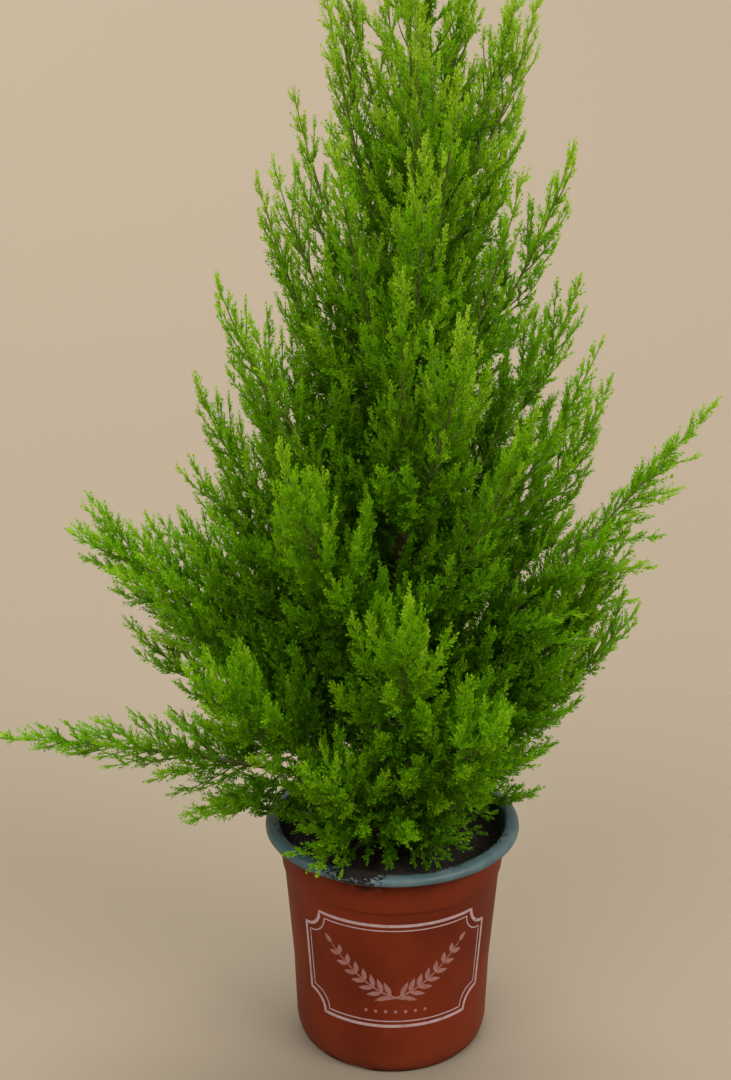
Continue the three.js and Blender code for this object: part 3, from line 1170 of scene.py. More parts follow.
class Recipe(Bench):
    """Adds the nodes of one geometry tree, between its named inputs and its result."""

    def __init__(self, name: str, inputs: dict[str, str]) -> None:
        """Makes the tree.

        Args:
            name: The tree's name.
            inputs: The kinds of its inputs besides the geometry, by name.
        """
        super().__init__(bpy.data.node_groups.new(name, "GeometryNodeTree"))
        face = self.tree.interface
        for label, kind in {"Geometry": "Geometry", **inputs}.items():
            face.new_socket(label, in_out="INPUT", socket_type=f"NodeSocket{kind}")
        face.new_socket("Geometry", in_out="OUTPUT", socket_type="NodeSocketGeometry")
        entry = self.tree.nodes.new("NodeGroupInput")
        self.given = {socket.name: Wire(self, socket) for socket in entry.outputs}

    def attribute(self, name: str, kind: str) -> Wire:
        """A named attribute of the points."""
        return self.node("GeometryNodeInputNamedAttribute", {"data_type": kind}, {"Name": name})

    def close(self, result: Wire) -> Recipe:
        """Makes a wire the tree's result."""
        leave = self.tree.nodes.new("NodeGroupOutput")
        self.tree.links.new(result.socket, leave.inputs[0])
        return self

    def grow(self, obj: Object, values: dict) -> Object:
        """Runs the tree on an object.

        Args:
            obj: The object, which the result replaces.
            values: The tree's inputs by name. They are set by the sockets' identifiers.

        Returns:
            The result, as one plain mesh.
        """
        modifier = obj.modifiers.new(self.tree.name, "NODES")
        modifier.node_group = self.tree
        for item in self.tree.interface.items_tree:
            if item.in_out == "INPUT" and item.name in values:
                modifier[item.identifier] = values[item.name]
        return Piece.settle(obj)


class Sprinkler:
    """Sets small forms on points by geometry nodes, and deals materials out to them."""

    def __init__(self, name: str, shapes: bpy.types.Collection, materials: list) -> None:
        """Keeps the forms and the materials, and makes the tree for all its pieces."""
        self.values = {"Forms": shapes} | {f"Finish {k}": material for k, material in enumerate(materials)}
        self.recipe = self._recipe(f"{name}_sprinkler", len(materials))

    @staticmethod
    def forms(name: str, shapes: list[Shape]) -> bpy.types.Collection:
        """A collection of forms outside the scene, sorted by name.

        Args:
            name: Its name.
            shapes: The vertices and faces of each form.

        Returns:
            The collection.
        """
        group = bpy.data.collections.new(name)
        for index, (points, faces) in enumerate(shapes):
            data = bpy.data.meshes.new(f"{name}_{index:02d}")
            data.from_pydata((points * MM).tolist(), [], faces)
            data.update()
            group.objects.link(bpy.data.objects.new(f"{name}_{index:02d}", data))
        return group

    @staticmethod
    def _recipe(name: str, finishes: int) -> Recipe:
        """The tree: forms on points, realized, with one material for each number of the tint attribute.

        Args:
            name: The tree's name.
            finishes: How many materials there are.

        Returns:
            The tree.
        """
        recipe = Recipe(name, {"Forms": "Collection"} | {f"Finish {k}": "Material" for k in range(finishes)})
        picked = {"Collection": recipe.given["Forms"], "Separate Children": True, "Reset Children": True}
        forms = recipe.node("GeometryNodeCollectionInfo", {}, picked)
        turn = recipe.node("FunctionNodeEulerToRotation", {}, {0: recipe.attribute("turn", "FLOAT_VECTOR")})
        placing = {
            "Points": recipe.given["Geometry"],
            "Instance": forms,
            "Pick Instance": True,
            "Instance Index": recipe.attribute("form", "INT"),
            "Rotation": turn,
            "Scale": recipe.attribute("size", "FLOAT"),
        }
        placed = recipe.node("GeometryNodeInstanceOnPoints", {}, placing)
        shown = recipe.node("GeometryNodeRealizeInstances", {}, {"Geometry": placed})
        for k in range(finishes):
            compared = {"A_INT": recipe.attribute("tint", "INT"), "B_INT": k}
            same = recipe.node("FunctionNodeCompare", {"data_type": "INT", "operation": "EQUAL"}, compared)
            dressing = {"Geometry": shown, "Selection": same, "Material": recipe.given[f"Finish {k}"]}
            shown = recipe.node("GeometryNodeSetMaterial", {}, dressing)
        return recipe.close(shown)

    def sow(
        self, name: str, places: np.ndarray, turns: np.ndarray, sizes: np.ndarray, kinds: np.ndarray,
        tints: np.ndarray,
    ) -> Object:
        """Sets the forms.

        Args:
            name: The piece's name.
            places: Where each form stands, in millimetres.
            turns: Its Euler angles.
            sizes: Its scale.
            kinds: The number of its form.
            tints: The number of its material.

        Returns:
            The piece, as one plain mesh.
        """
        data = bpy.data.meshes.new(name)
        data.vertices.add(len(places))
        data.vertices.foreach_set("co", (places * MM).astype(np.float32).ravel())
        columns = (
            ("turn", "FLOAT_VECTOR", "vector", turns.astype(np.float32)),
            ("size", "FLOAT", "value", sizes.astype(np.float32)),
            ("form", "INT", "value", kinds.astype(np.int32)),
            ("tint", "INT", "value", tints.astype(np.int32)),
        )
        for label, kind, key, values in columns:
            data.attributes.new(label, kind, "POINT").data.foreach_set(key, values.ravel())
        made = self.recipe.grow(Piece.show(name, data), self.values)
        for label, *_ in columns:
            if label in made.data.attributes:
                made.data.attributes.remove(made.data.attributes[label])
        return made


@dataclass
class TwigBundle:
    """Many thin stems drawn as lines with a radius, skinned by geometry nodes."""

    name: str
    sides: int
    material: Material
    lines: list = field(default_factory=list)

    def add(self, points: np.ndarray, start: float, end: float) -> None:
        """Adds a stem that tapers from one radius to another."""
        self.lines.append((points, np.linspace(start, end, len(points))))

    def build(self) -> Object:
        """Skins the stems into one plain mesh.

        Returns:
            The piece.
        """
        curve = bpy.data.curves.new(self.name, "CURVE")
        curve.dimensions = "3D"
        for points, radii in self.lines:
            spline = curve.splines.new("POLY")
            spline.points.add(len(points) - 1)
            spline.points.foreach_set("co", np.column_stack([points * MM, np.ones(len(points))]).ravel())
            spline.points.foreach_set("radius", radii * MM)
        obj = Piece.show(self.name, curve)
        return self._recipe().grow(obj, {"Sides": self.sides, "Skin": self.material})

    def _recipe(self) -> Recipe:
        """The tree: a round section along each line, as wide as the line's radius.

        Returns:
            The tree.
        """
        recipe = Recipe(f"{self.name}_skin", {"Sides": "Int", "Skin": "Material"})
        round_form = {"Resolution": recipe.given["Sides"], "Radius": 1.0}
        section = recipe.node("GeometryNodeCurvePrimitiveCircle", {}, round_form)
        skinning = {
            "Curve": recipe.given["Geometry"],
            "Profile Curve": section,
            "Scale": recipe.node("GeometryNodeInputRadius"),
            "Fill Caps": True,
        }
        skinned = recipe.node("GeometryNodeCurveToMesh", {}, skinning)
        solid = recipe.node("GeometryNodeRealizeInstances", {}, {"Geometry": skinned})
        dressing = {"Geometry": solid, "Material": recipe.given["Skin"]}
        return recipe.close(recipe.node("GeometryNodeSetMaterial", {}, dressing))


# The plan of the plant, by the source's rule


class Draws:
    """The source's repeatable stream of numbers from 0 to 1."""

    factor = 1664525
    step = 1013904223
    span = 2**32

    def __init__(self, seed: int) -> None:
        """Starts the stream."""
        self.state = seed

    def __call__(self) -> float:
        """The next number."""
        self.state = (self.state * self.factor + self.step) % self.span
        return self.state / self.span


@dataclass(frozen=True)
class TrunkLine:
    """The trunk: a taper from a flared root to a thin tip, leaning to the right."""

    foot: float = 164.3
    tip: float = 778
    radius: float = 6.6
    tip_radius: float = 1.2
    taper: float = 0.85
    flare: float = 4.2
    fade: float = 9
    across: float = 20
    power: float = 1.15
    bow: float = 4

    def point(self, share: np.ndarray | float) -> np.ndarray:
        """Points on the centre line, at shares of the height."""
        share = np.asarray(share, float)
        back = self.bow * np.sin(math.pi * share)
        return np.stack([self.across * share**self.power, back, lerp(self.foot, self.tip, share)], axis=-1)

    def share(self, height: np.ndarray | float) -> np.ndarray:
        """The share of the trunk's height at heights."""
        return np.clip((np.asarray(height, float) - self.foot) / (self.tip - self.foot), 0, 1)

    def thickness(self, share: np.ndarray) -> np.ndarray:
        """The radius at shares of the height."""
        rise = share * (self.tip - self.foot)
        taper = self.tip_radius + (self.radius - self.tip_radius) * (1 - share) ** self.taper
        return taper + self.flare * np.exp(-rise / self.fade)


@dataclass(frozen=True)
class Tier:
    """A tier of boughs. Angles are degrees from +X, and enter is the share of a bough that is bare limb."""

    name: str
    count: int
    bearing: float
    start: float
    tip: float
    reach: float
    enter: float
    girth: float
    spray: float


TIERS = [
    Tier("skirt", 5, 10, 174, 193, 112, 0, 1.8, 52),
    Tier("low", 5, 183, 190, 266, 166, 0.24, 3.2, 90),
    Tier("wide", 5, 5, 218, 326, 172, 0.24, 3.2, 94),
    Tier("middle", 4, 176, 250, 408, 160, 0.24, 3, 98),
    Tier("high", 5, 30, 318, 494, 144, 0.22, 2.7, 96),
    Tier("upper", 4, 14, 400, 580, 124, 0, 2.2, 92),
    Tier("crown", 4, 354, 490, 660, 98, 0, 1.9, 82),
    Tier("top", 4, 2, 592, 752, 60, 0, 1.6, 72),
]
LEADER = {"height": 870, "lean": 5, "girth": 1.2, "spray": 60}
STRAY = {"bearing": 10, "start": 9, "tip": 12, "reach": 0.05}
NOTABLE = {
    "skirt_1": {"bearing": 7, "reach": 112, "tip": 190},
    "skirt_3": {"bearing": 187, "reach": 136, "tip": 200},
    "skirt_4": {"bearing": 236, "reach": 103, "start": 178, "tip": 180, "bend": (0.6, 6)},
    "skirt_5": {"bearing": 300, "reach": 68, "tip": 186},
    "low_1": {"bearing": 183, "reach": 286, "tip": 246, "bend": (0.5, 0.8)},
    "low_2": {"bearing": 250, "reach": 136, "tip": 268},
    "low_3": {"bearing": 312, "reach": 106, "tip": 302},
    "middle_1": {"bearing": 176, "reach": 230, "tip": 396, "start": 236, "bend": (0.5, 0.6)},
    "high_1": {"bearing": 26, "reach": 174},
    "high_5": {"bearing": 357, "reach": 216, "tip": 493, "start": 256, "bend": (0.5, 0.42)},
    "crown_1": {"reach": 108, "tip": 662},
    "crown_3": {"reach": 90},
    "top_1": {"reach": 76},
    "top_3": {"reach": 52},
}


@dataclass(frozen=True)
class Course:
    """How a bough runs: its bearing in degrees, its start's height, its reach and its tip's height.

    bend places its control point, by a share of the reach and a share of the rise from start to tip.
    """

    bearing: float
    start: float
    reach: float
    tip: float
    bend: tuple[float, float] = (0.68, 0.3)


SLENDER_BEND = (0.62, 0.34)
# Bearing, start, reach and tip of the boughs that fill gaps
FILLING = (
    (180, 206, 192, 330), (188, 232, 176, 366), (178, 300, 146, 448), (3, 338, 138, 532),
    (358, 236, 162, 372), (180, 262, 152, 412), (2, 556, 68, 688), (40, 640, 42, 764),
    (176, 520, 78, 650), (6, 602, 68, 774), (168, 282, 130, 440), (193, 268, 134, 424),
    (184, 356, 112, 520), (178, 436, 86, 588),
)


@dataclass(frozen=True)
class Between:
    """The slender boughs between the tiers.

    They start between the heights low and high, and strays is how far a bearing strays in degrees. reach
    scales the reach of the tiers next to a bough, and higher is how far its tip stands above theirs.
    """

    count: int = 28
    low: float = 205
    high: float = 640
    bearing: float = 62
    strays: float = 11
    reach: tuple = (0.74, 0.94)
    higher: tuple = (10, 42)
    girth: float = 1.3
    spray: float = 0.72
    seed: int = 600

    def courses(self) -> list[Course]:
        """Their courses, each planned from the tiers below and above it.

        Returns:
            The courses, from the lowest up.
        """
        reaches = [(tier.start, tier.reach) for tier in TIERS]
        tips = [(tier.start, tier.tip) for tier in TIERS]
        made = []
        for k in range(self.count):
            draws = np.random.default_rng(self.seed + k)
            start = lerp(self.low, self.high, (k + draws.uniform(0.1, 0.9)) / self.count)
            bearing = self.bearing + math.degrees(k * GOLDEN_ANGLE)
            bearing += draws.uniform(-self.strays, self.strays)
            reach = read_off(reaches, start) * draws.uniform(*self.reach)
            tip = read_off(tips, start) + draws.uniform(*self.higher)
            made.append(Course(bearing, start, reach, tip, SLENDER_BEND))
        return made


@dataclass
class Bough:
    """One bough: a quadratic curve from the trunk's centre to its tip, and what it carries."""

    name: str
    tier: str
    root: np.ndarray
    control: np.ndarray
    end: np.ndarray
    side: np.ndarray
    enter: float
    girth: float
    spray: float

    @classmethod
    def along(
        cls, trunk: TrunkLine, course: Course, name: str, tier: str, enter: float, girth: float, spray: float
    ) -> Bough:
        """The bough that follows a course from the trunk's centre.

        Args:
            trunk: The trunk.
            course: How the bough runs.
            name: Its name.
            tier: Its tier.
            enter: The share of it that is bare limb.
            girth: Its radius at the root.
            spray: How long its plumes are.

        Returns:
            The bough.
        """
        turn = math.radians(course.bearing)
        outward = np.array([math.cos(turn), math.sin(turn), 0.0])
        root = trunk.point(trunk.share(course.start))
        control = root + outward * course.bend[0] * course.reach
        control[2] += course.bend[1] * (course.tip - course.start)
        end = root + outward * course.reach
        end[2] = course.tip
        side = np.array([-outward[1], outward[0], 0.0])
        return cls(name, tier, root, control, end, side, enter, girth, spray)

    def point(self, share: np.ndarray | float) -> np.ndarray:
        """Points on the curve."""
        t = np.asarray(share, float)[..., None]
        return (1 - t) ** 2 * self.root + 2 * t * (1 - t) * self.control + t**2 * self.end

    def ahead(self, share: np.ndarray | float) -> np.ndarray:
        """Directions along the curve."""
        t = np.asarray(share, float)[..., None]
        return unit(2 * (1 - t) * (self.control - self.root) + 2 * t * (self.end - self.control))

    def length(self) -> float:
        """The curve's length."""
        return float(np.linalg.norm(np.diff(self.point(np.linspace(0, 1, 60)), axis=0), axis=1).sum())


def plan_boughs(trunk: TrunkLine) -> list[Bough]:
    """Every bough of every tier, and the leader, as the source plans them.

    Args:
        trunk: The trunk that they stand on.

    Returns:
        The boughs, with the leader last.
    """
    boughs = []
    for level, tier in enumerate(TIERS):
        steady = 0 if tier.name == "skirt" else 1
        for k in range(tier.count):
            draws = Draws(1000 * (level + 1) + k)
            stray = [2 * draws() - 1 for _ in range(4)]
            name = f"{tier.name}_{k + 1}"
            course = Course(
                bearing=tier.bearing + 360 * k / tier.count + stray[0] * STRAY["bearing"],
                start=tier.start + stray[1] * STRAY["start"] * steady,
                reach=tier.reach * (1 + stray[3] * STRAY["reach"]),
                tip=tier.tip + stray[2] * STRAY["tip"] * steady,
            )
            course = replace(course, **NOTABLE.get(name, {}))
            boughs.append(Bough.along(trunk, course, name, tier.name, tier.enter, tier.girth, tier.spray))
    root = trunk.point(1.0) + UP * SEAM
    end = np.array([root[0] + LEADER["lean"], root[1], LEADER["height"]])
    side = np.array([1.0, 0, 0])
    carried = (LEADER["girth"], LEADER["spray"])
    boughs.append(Bough("leader", "leader", root, (root + end) / 2, end, side, 0, *carried))
    return boughs


def plan_between(trunk: TrunkLine) -> list[Bough]:
    """The slender boughs between the tiers, and those that fill gaps.

    Args:
        trunk: The trunk that they stand on.

    Returns:
        The boughs, with the filling ones last.
    """
    slender = Between()
    sprays = [(tier.start, tier.spray) for tier in TIERS]
    filling = [Course(*row, SLENDER_BEND) for row in FILLING]
    boughs = []
    for kind, courses in (("between", slender.courses()), ("filling", filling)):
        for course in courses:
            spray = read_off(sprays, course.start) * slender.spray
            boughs.append(Bough.along(trunk, course, kind, kind, 0, slender.girth, spray))
    return boughs


# Bark


@dataclass
class BarkedWood:
    """The trunk and the bare boughs, with furrowed bark in their meshes."""

    trunk: TrunkLine
    boughs: list[Bough]
    trunk_sides: int = 32
    trunk_rings: int = 300
    crowding: float = 1.25
    bough_sides: int = 14
    bough_rings: int = 36
    bough_end: float = 2.3
    furrow: float = 0.11
    furrow_length: float = 22
    knot_length: float = 9

    def build(self, bark: Material) -> None:
        """Builds both pieces.

        Args:
            bark: Their material.
        """
        shares = np.linspace(0, 1, self.trunk_rings) ** self.crowding
        line = self.trunk.point(shares)
        radii = self._furrowed(line, self.trunk.thickness(shares), self.trunk_sides, 0)
        stem = tube(line, radii, self.trunk_sides, np.array([1.0, 0, 0]))
        self._piece("trunk_bark", stem, bark, ["trunk"])
        limbed = [bough for bough in self.boughs if bough.enter > 0]
        limbs = joined([self._limb(bough, number) for number, bough in enumerate(limbed, 1)])
        self._piece("bough_bark", limbs, bark, [f"bough_{bough.name}" for bough in limbed])

    @staticmethod
    def _piece(name: str, form: Shape, bark: Material, nodes: list[str]) -> None:
        """Makes a piece of bark and hands it over."""
        wood = Piece.mesh(name, *form, [bark])
        Piece.tidy(wood, 70)
        Piece.hand_over(wood, "bark", nodes)

    def _limb(self, bough: Bough, seed: int) -> Shape:
        """The bare part of one bough.

        Args:
            bough: The bough.
            seed: The number of its furrows.

        Returns:
            The vertices and the faces.
        """
        shares = np.linspace(0.01, bough.enter, self.bough_rings)
        line = bough.point(shares)
        thick = np.interp(shares, [0, bough.enter], [bough.girth, self.bough_end])
        radii = self._furrowed(line, thick, self.bough_sides, seed)
        return tube(line, radii, self.bough_sides, bough.side)

    def _furrowed(self, line: np.ndarray, thick: np.ndarray, sides: int, seed: int) -> np.ndarray:
        """Radii with long furrows and small knots, for each point of the line and each side.

        Args:
            line: Points on the centre line.
            thick: The plain radius at each.
            sides: How many sides.
            seed: The number of the furrows.

        Returns:
            The radii, rows by sides.
        """
        radii = np.empty((len(line), sides))
        for row, (place, radius) in enumerate(zip(line, thick, strict=True)):
            for k in range(sides):
                turn = CIRCLE * k / sides
                x, y = math.cos(turn), math.sin(turn)
                furrow = Vector((2.2 * x, 2.2 * y, place[2] / self.furrow_length + 7 * seed))
                knot = Vector((x, y, place[2] / self.knot_length + 3 * seed))
                relief = noise.noise(furrow * 1.9) + 0.5 * noise.noise(knot * 2.4)
                radii[row, k] = radius * (1 + self.furrow * relief)
        return radii


# Foliage


@dataclass(frozen=True)
class ShootForm:
    """A leafy shoot along +Z that bends to +X: a thin axis with pairs of leaves, each square to the last."""

    length: float
    seed: int
    gap: float
    leaf: float
    wide: float = 1.5
    spread: float = 23
    bend: float = 0.12
    thick: float = 0.85

    def mesh(self) -> Shape:
        """Makes the form.

        Returns:
            The form's vertices and faces.
        """
        draws = np.random.default_rng(900 + self.seed)
        points: list = []
        faces: list = []
        self._axis(points, faces)
        pairs = max(3, round(self.length / self.gap))
        spin = draws.uniform(0, math.pi)
        for pair in range(pairs):
            along = (pair + 0.4) / pairs
            angle = math.radians(self.spread * (1 - 0.4 * along**3) + draws.uniform(-6, 6))
            length = self.leaf * (1 - 0.25 * along**2) * draws.uniform(0.86, 1.14)
            for hand in range(2):
                turn = spin + pair * math.pi / 2 + hand * math.pi + draws.uniform(-0.3, 0.3)
                self._blade(along, turn, angle, length, points, faces)
        return np.array(points), faces

    def _place(self, along: float) -> np.ndarray:
        """A point on the axis."""
        return np.array([self.bend * self.length * along**2, 0, self.length * along])

    def _axis(self, points: list, faces: list) -> None:
        """Adds the axis, a slim spike of three faces.

        Args:
            points: The vertices so far.
            faces: The faces so far.
        """
        for k in range(3):
            turn = CIRCLE * k / 3
            points.append(self.thick * np.array([math.cos(turn), math.sin(turn), 0]))
        points.append(self._place(1.04))
        faces += [[0, 1, 3], [1, 2, 3], [2, 0, 3]]

    def _blade(
        self, along: float, turn: float, angle: float, length: float, points: list, faces: list
    ) -> None:
        """Adds one leaf: a pointed blade folded along its middle, of two faces.

        Args:
            along: Where it stands on the axis.
            turn: Its turn about the axis.
            angle: How far it leans out.
            length: Its length.
            points: The vertices so far.
            faces: The faces so far.
        """
        ahead = unit(np.array([2 * self.bend * along, 0, 1.0]))
        square = np.array([0, 1.0, 0])
        outward = square * math.cos(turn) + np.cross(ahead, square) * math.sin(turn)
        side = np.cross(ahead, outward)
        heading = ahead * math.cos(angle) + outward * math.sin(angle)
        root = self._place(along) + outward * self.thick * 0.6
        middle = root + heading * length * 0.42 + outward * 0.12 * length
        half = side * self.wide / 2
        first = len(points)
        points += [root, middle + half, root + heading * length, middle - half]
        faces += [[first, first + 1, first + 2], [first, first + 2, first + 3]]


class ShootKit:
    """The shoot forms: a fine set for what is seen, and a plainer set for the crown's inside."""

    lengths = (5, 7.5, 10.5, 14.5, 19.5)
    each = 3
    fine = {"gap": 2.3, "leaf": 3.0}
    plain = {"gap": 3.5, "leaf": 4.2, "wide": 2.1}

    def __init__(self) -> None:
        """Makes the forms."""
        shapes = [
            ShootForm(length, 100 * grade + 10 * level + k, **plan).mesh()
            for grade, plan in enumerate((self.fine, self.plain))
            for level, length in enumerate(self.lengths)
            for k in range(self.each)
        ]
        self.triangles = np.array([sum(len(face) - 2 for face in faces) for _, faces in shapes])
        self.forms = Sprinkler.forms("shoot", shapes)

    def choose(self, lengths: np.ndarray, plain: np.ndarray, draws: Generator) -> tuple:
        """The forms and the scales of shoots.

        Args:
            lengths: Their lengths.
            plain: Whether each is of the plainer set.
            draws: Random draws.

        Returns:
            The numbers of the forms and the scales.
        """
        table = np.array(self.lengths)
        level = np.abs(np.log(lengths[:, None] / table[None])).argmin(axis=1)
        kinds = (plain * len(table) + level) * self.each + draws.integers(0, self.each, len(lengths))
        return kinds, lengths / table[level]


@dataclass
class Growth:
    """One mass as it grows: the twigs it adds to, its random draws, and its shoots.

    A shoot is a row of place, direction, length and brightness.
    """

    stems: TwigBundle
    axes: TwigBundle
    extra: Generator
    rows: list = field(default_factory=list)

    def add(self, places: np.ndarray, ahead: np.ndarray, lengths: np.ndarray, lights: np.ndarray) -> None:
        """Adds shoots."""
        self.rows.append(np.column_stack([places, ahead, lengths, lights]))

    def table(self) -> np.ndarray:
        """All the rows."""
        return np.vstack(self.rows)


def euler_of(ahead: np.ndarray, rolls: np.ndarray) -> np.ndarray:
    """Euler angles that turn +Z to each direction and +X to the upper side, rolled a little about +Z.

    Args:
        ahead: The directions.
        rolls: The turns about them.

    Returns:
        Rows of three angles.
    """
    first = unit(UP + [0.02, 0.01, 0] - ahead * ahead[:, 2:3])
    second = np.cross(ahead, first)
    x = unit(first * np.cos(rolls)[:, None] + second * np.sin(rolls)[:, None])
    x = unit(x - ahead * (x * ahead).sum(axis=1, keepdims=True))
    y = np.cross(ahead, x)
    pitch = -np.arcsin(np.clip(x[:, 2], -1, 1))
    return np.column_stack([np.arctan2(y[:, 2], ahead[:, 2]), pitch, np.arctan2(x[:, 1], x[:, 0])])


@dataclass(frozen=True)
class Habit:
    """How plumes grow on a bough.

    rise and follow turn a plume up and ahead towards its tip. between is the spacing of the plumes that
    stand between the source's. over and under scale the plumes above and below the bough, and outer those at
    its tip.
    """

    rise: float
    follow: float
    between: float
    over: float = 1.15
    under: float = 0.8
    outer: float = 1.0


HABITS = {
    "skirt": Habit(0.08, 0.3, 4.5, 1.3, 0.9),
    "low": Habit(0.4, 0.4, 7.2, 1.15, 0.55, 0.75),
    "wide": Habit(0.6, 0.45, 7.4, 1.2, 0.7, 0.75),
    "middle": Habit(0.75, 0.45, 7.4, 1.25, 0.8, 0.75),
    "high": Habit(0.85, 0.45, 7.4, 1.3, 0.8, 0.75),
    "upper": Habit(0.85, 0.4, 8.6, 1.35, 0.8, 0.8),
    "crown": Habit(0.85, 0.4, 9.4, 1.3, 0.8, 0.85),
    "top": Habit(0.7, 0.4, 9.4, 1.25, 0.8, 0.85),
    "between": Habit(0.75, 0.45, 13, 1.2, 0.85, 0.85),
    "filling": Habit(0.4, 0.5, 11, 1.1, 1.1, 1.0),
    "leader": Habit(0.4, 0.4, 7),
    "skirt_1": Habit(0.04, 0.3, 9, 0.5, 0.5, 0.5),
    "skirt_3": Habit(0.14, 0.3, 8, 0.75, 0.25, 0.45),
    "skirt_4": Habit(0.0, 0.3, 3.6, 1.2, 0.9, 1.15),
    "low_1": Habit(0.0, 0.45, 6.4, 0.8, 0.6, 0.8),
    "low_4": Habit(0.45, 0.4, 7.2, 1.15, 0.3, 0.7),
    "wide_1": Habit(0.6, 0.45, 7.4, 1.2, 0.45, 0.75),
    "middle_1": Habit(0.16, 0.5, 5, 1.0, 1.2, 1.05),
    "high_5": Habit(-0.36, 0.5, 5.4, 0.4, 1.45, 0.55),
}


@dataclass
class Foliage:
    """The masses of foliage: plumes by the source's rule, shoots round each plume, and leaves on each shoot.

    Angles are in degrees, and their pairs go from root to tip. Four tables give something by height:
    envelope the crown's radius, trunk_plumes and trunk_rises the length and the rise of the plumes on the
    trunk, and airy the share of shoots left out, of which airy_tip holds at a plume's tip. Each of forks is
    the place of a side shoot on a shoot, and the least length of a shoot that has it. Side shoots placed
    below fork_spared stay wherever their shoot does.
    """

    pot: Pot
    trunk: TrunkLine
    boughs: list[Bough]
    source_seed: int = 7000
    own_seed: int = 70
    slender_seed: int = 100
    plumes: int = 12
    first: float = 0.12
    last: float = 0.74
    further: float = 0.86
    plume_angle: tuple = (60, 32)
    plume_twig: tuple = (0.75, 0.3)
    taper: float = 0.48
    varies: float = 0.24
    lift: float = 0.12
    shrinks: tuple = (1, 0.8, 0.62, 0.45)
    limb_plumes: int = 6
    limb_girth: float = 2.1
    stem_girth: float = 1.9
    stem_end: float = 0.8
    stem_reach: float = 0.8
    stem_shoot: float = 13
    tip_twig: tuple = (0.85, 0.35)
    shoot_gap: float = 5.3
    shoot_from: float = 0.1
    shoot_span: float = 0.86
    shoot_angle: tuple = (40, 23)
    shoot_lift: float = 0.16
    shoot_share: float = 0.34
    shoot_least: float = 5.5
    shoot_taper: float = 0.62
    shoot_varies: tuple = (0.8, 1.18)
    end_shoot: float = 9
    end_back: float = 3
    forks: tuple = ((0.2, 9), (0.42, 13), (0.3, 17), (0.56, 20))
    fork_angle: tuple = (30, 42)
    fork_share: tuple = (0.42, 0.62)
    fork_lift: float = 0.12
    fork_least: float = 4.5
    fork_spared: float = 0.4
    room: float = 3.0
    shoot_room: float = 1.5
    trunk_shoot: float = 17
    trunk_from: float = 186
    trunk_to: float = 800
    trunk_gap: float = 7.2
    trunk_bands: int = 8
    trunk_plumes: tuple = ((186, 58), (300, 94), (420, 88), (600, 72), (700, 66), (800, 58))
    trunk_rises: tuple = ((186, 0.06), (300, 0.35), (420, 0.5))
    airy: tuple = ((380, 0.0), (560, 0.38), (640, 0.52), (720, 0.5), (765, 0.2), (800, 0.0))
    airy_tip: float = 0.3
    thinning: Generator = field(default_factory=lambda: np.random.default_rng(12))
    envelope: tuple = (
        (176, 108), (246, 150), (326, 172), (408, 160), (494, 146), (580, 126), (660, 100), (752, 62),
        (880, 12),
    )
    # Painted light on the leaf tints: a shoot's brightness picks its tint, and rises towards the crown's
    # outline and with height, falling as painted shade inside; light_tip brightens plume tips.
    light_least: float = 0.09
    light_outer: float = 0.36
    light_tip: float = 0.22
    light_high: float = 0.3
    light_from: float = 200
    light_rise: float = 600
    light_varies: float = 0.07
    plain_below: float = 0.4
    most_triangles: int = 185000

    def build(self, stem_skin: Material, plume_skin: Material) -> None:
        """Builds the twigs and the leafy shoots of every tier.

        Args:
            stem_skin: The thick twigs' skin.
            plume_skin: The thin twigs' skin.
        """
        stems = TwigBundle("stem_twigs", 5, stem_skin)
        axes = TwigBundle("plume_twigs", 3, plume_skin)
        kit = ShootKit()
        sprinkler = Sprinkler("leaves", kit.forms, [tint.value.make() for tint in Tint])
        grown: dict[str, list] = {}
        for index, bough in enumerate(self.boughs):
            growth = self._grow_mass(bough, index, stems, axes)
            grown.setdefault(bough.tier, []).append((bough, growth))
        for index, bough in enumerate(plan_between(self.trunk)):
            growth = self._grow_mass(bough, self.slender_seed + index, stems, axes)
            grown.setdefault("between", []).append((None, growth))
        grown["inner"] = [(None, growth) for growth in self._grow_inner(stems, axes)]
        Piece.hand_over(stems.build(), "bark")
        Piece.hand_over(axes.build(), "bark")
        for tier, masses in grown.items():
            self._leaf_out(f"leaves_{tier}", masses, kit, sprinkler)

    def _leaf_out(self, name: str, masses: list, kit: ShootKit, sprinkler: Sprinkler) -> None:
        """Turns masses into pieces of leaves, each within the most triangles that a piece may have.

        Args:
            name: The piece's name, which gets a number where there are more.
            masses: Pairs of a bough, or None where no solid stands for it, and its growth.
            kit: The shoot forms.
            sprinkler: What sets them.
        """
        parts: list = [[]]
        total = 0
        for bough, growth in masses:
            table = growth.table()
            lights = table[:, 7]
            draws = np.random.default_rng(len(table))
            kinds, sizes = kit.choose(table[:, 6], lights < self.plain_below, draws)
            count = int(kit.triangles[kinds].sum())
            if total and total + count > self.most_triangles:
                parts.append([])
                total = 0
            total += count
            turns = euler_of(table[:, 3:6], draws.uniform(-0.7, 0.7, len(table)))
            # The brightness, painted light and shade, picks each shoot's tint
            tints = np.clip(np.floor(lights * len(Tint)), 0, len(Tint) - 1)
            parts[-1].append((bough, (table[:, :3], turns, sizes, kinds, tints)))
        for number, part in enumerate(parts, 1):
            label = name if len(parts) == 1 else f"{name}_{number}"
            columns = [np.concatenate(column) for column in zip(*(rows for _, rows in part), strict=True)]
            nodes = [f"foliage_{bough.name}" for bough, _ in part if bough]
            Piece.hand_over(sprinkler.sow(label, *columns), "foliage", nodes)

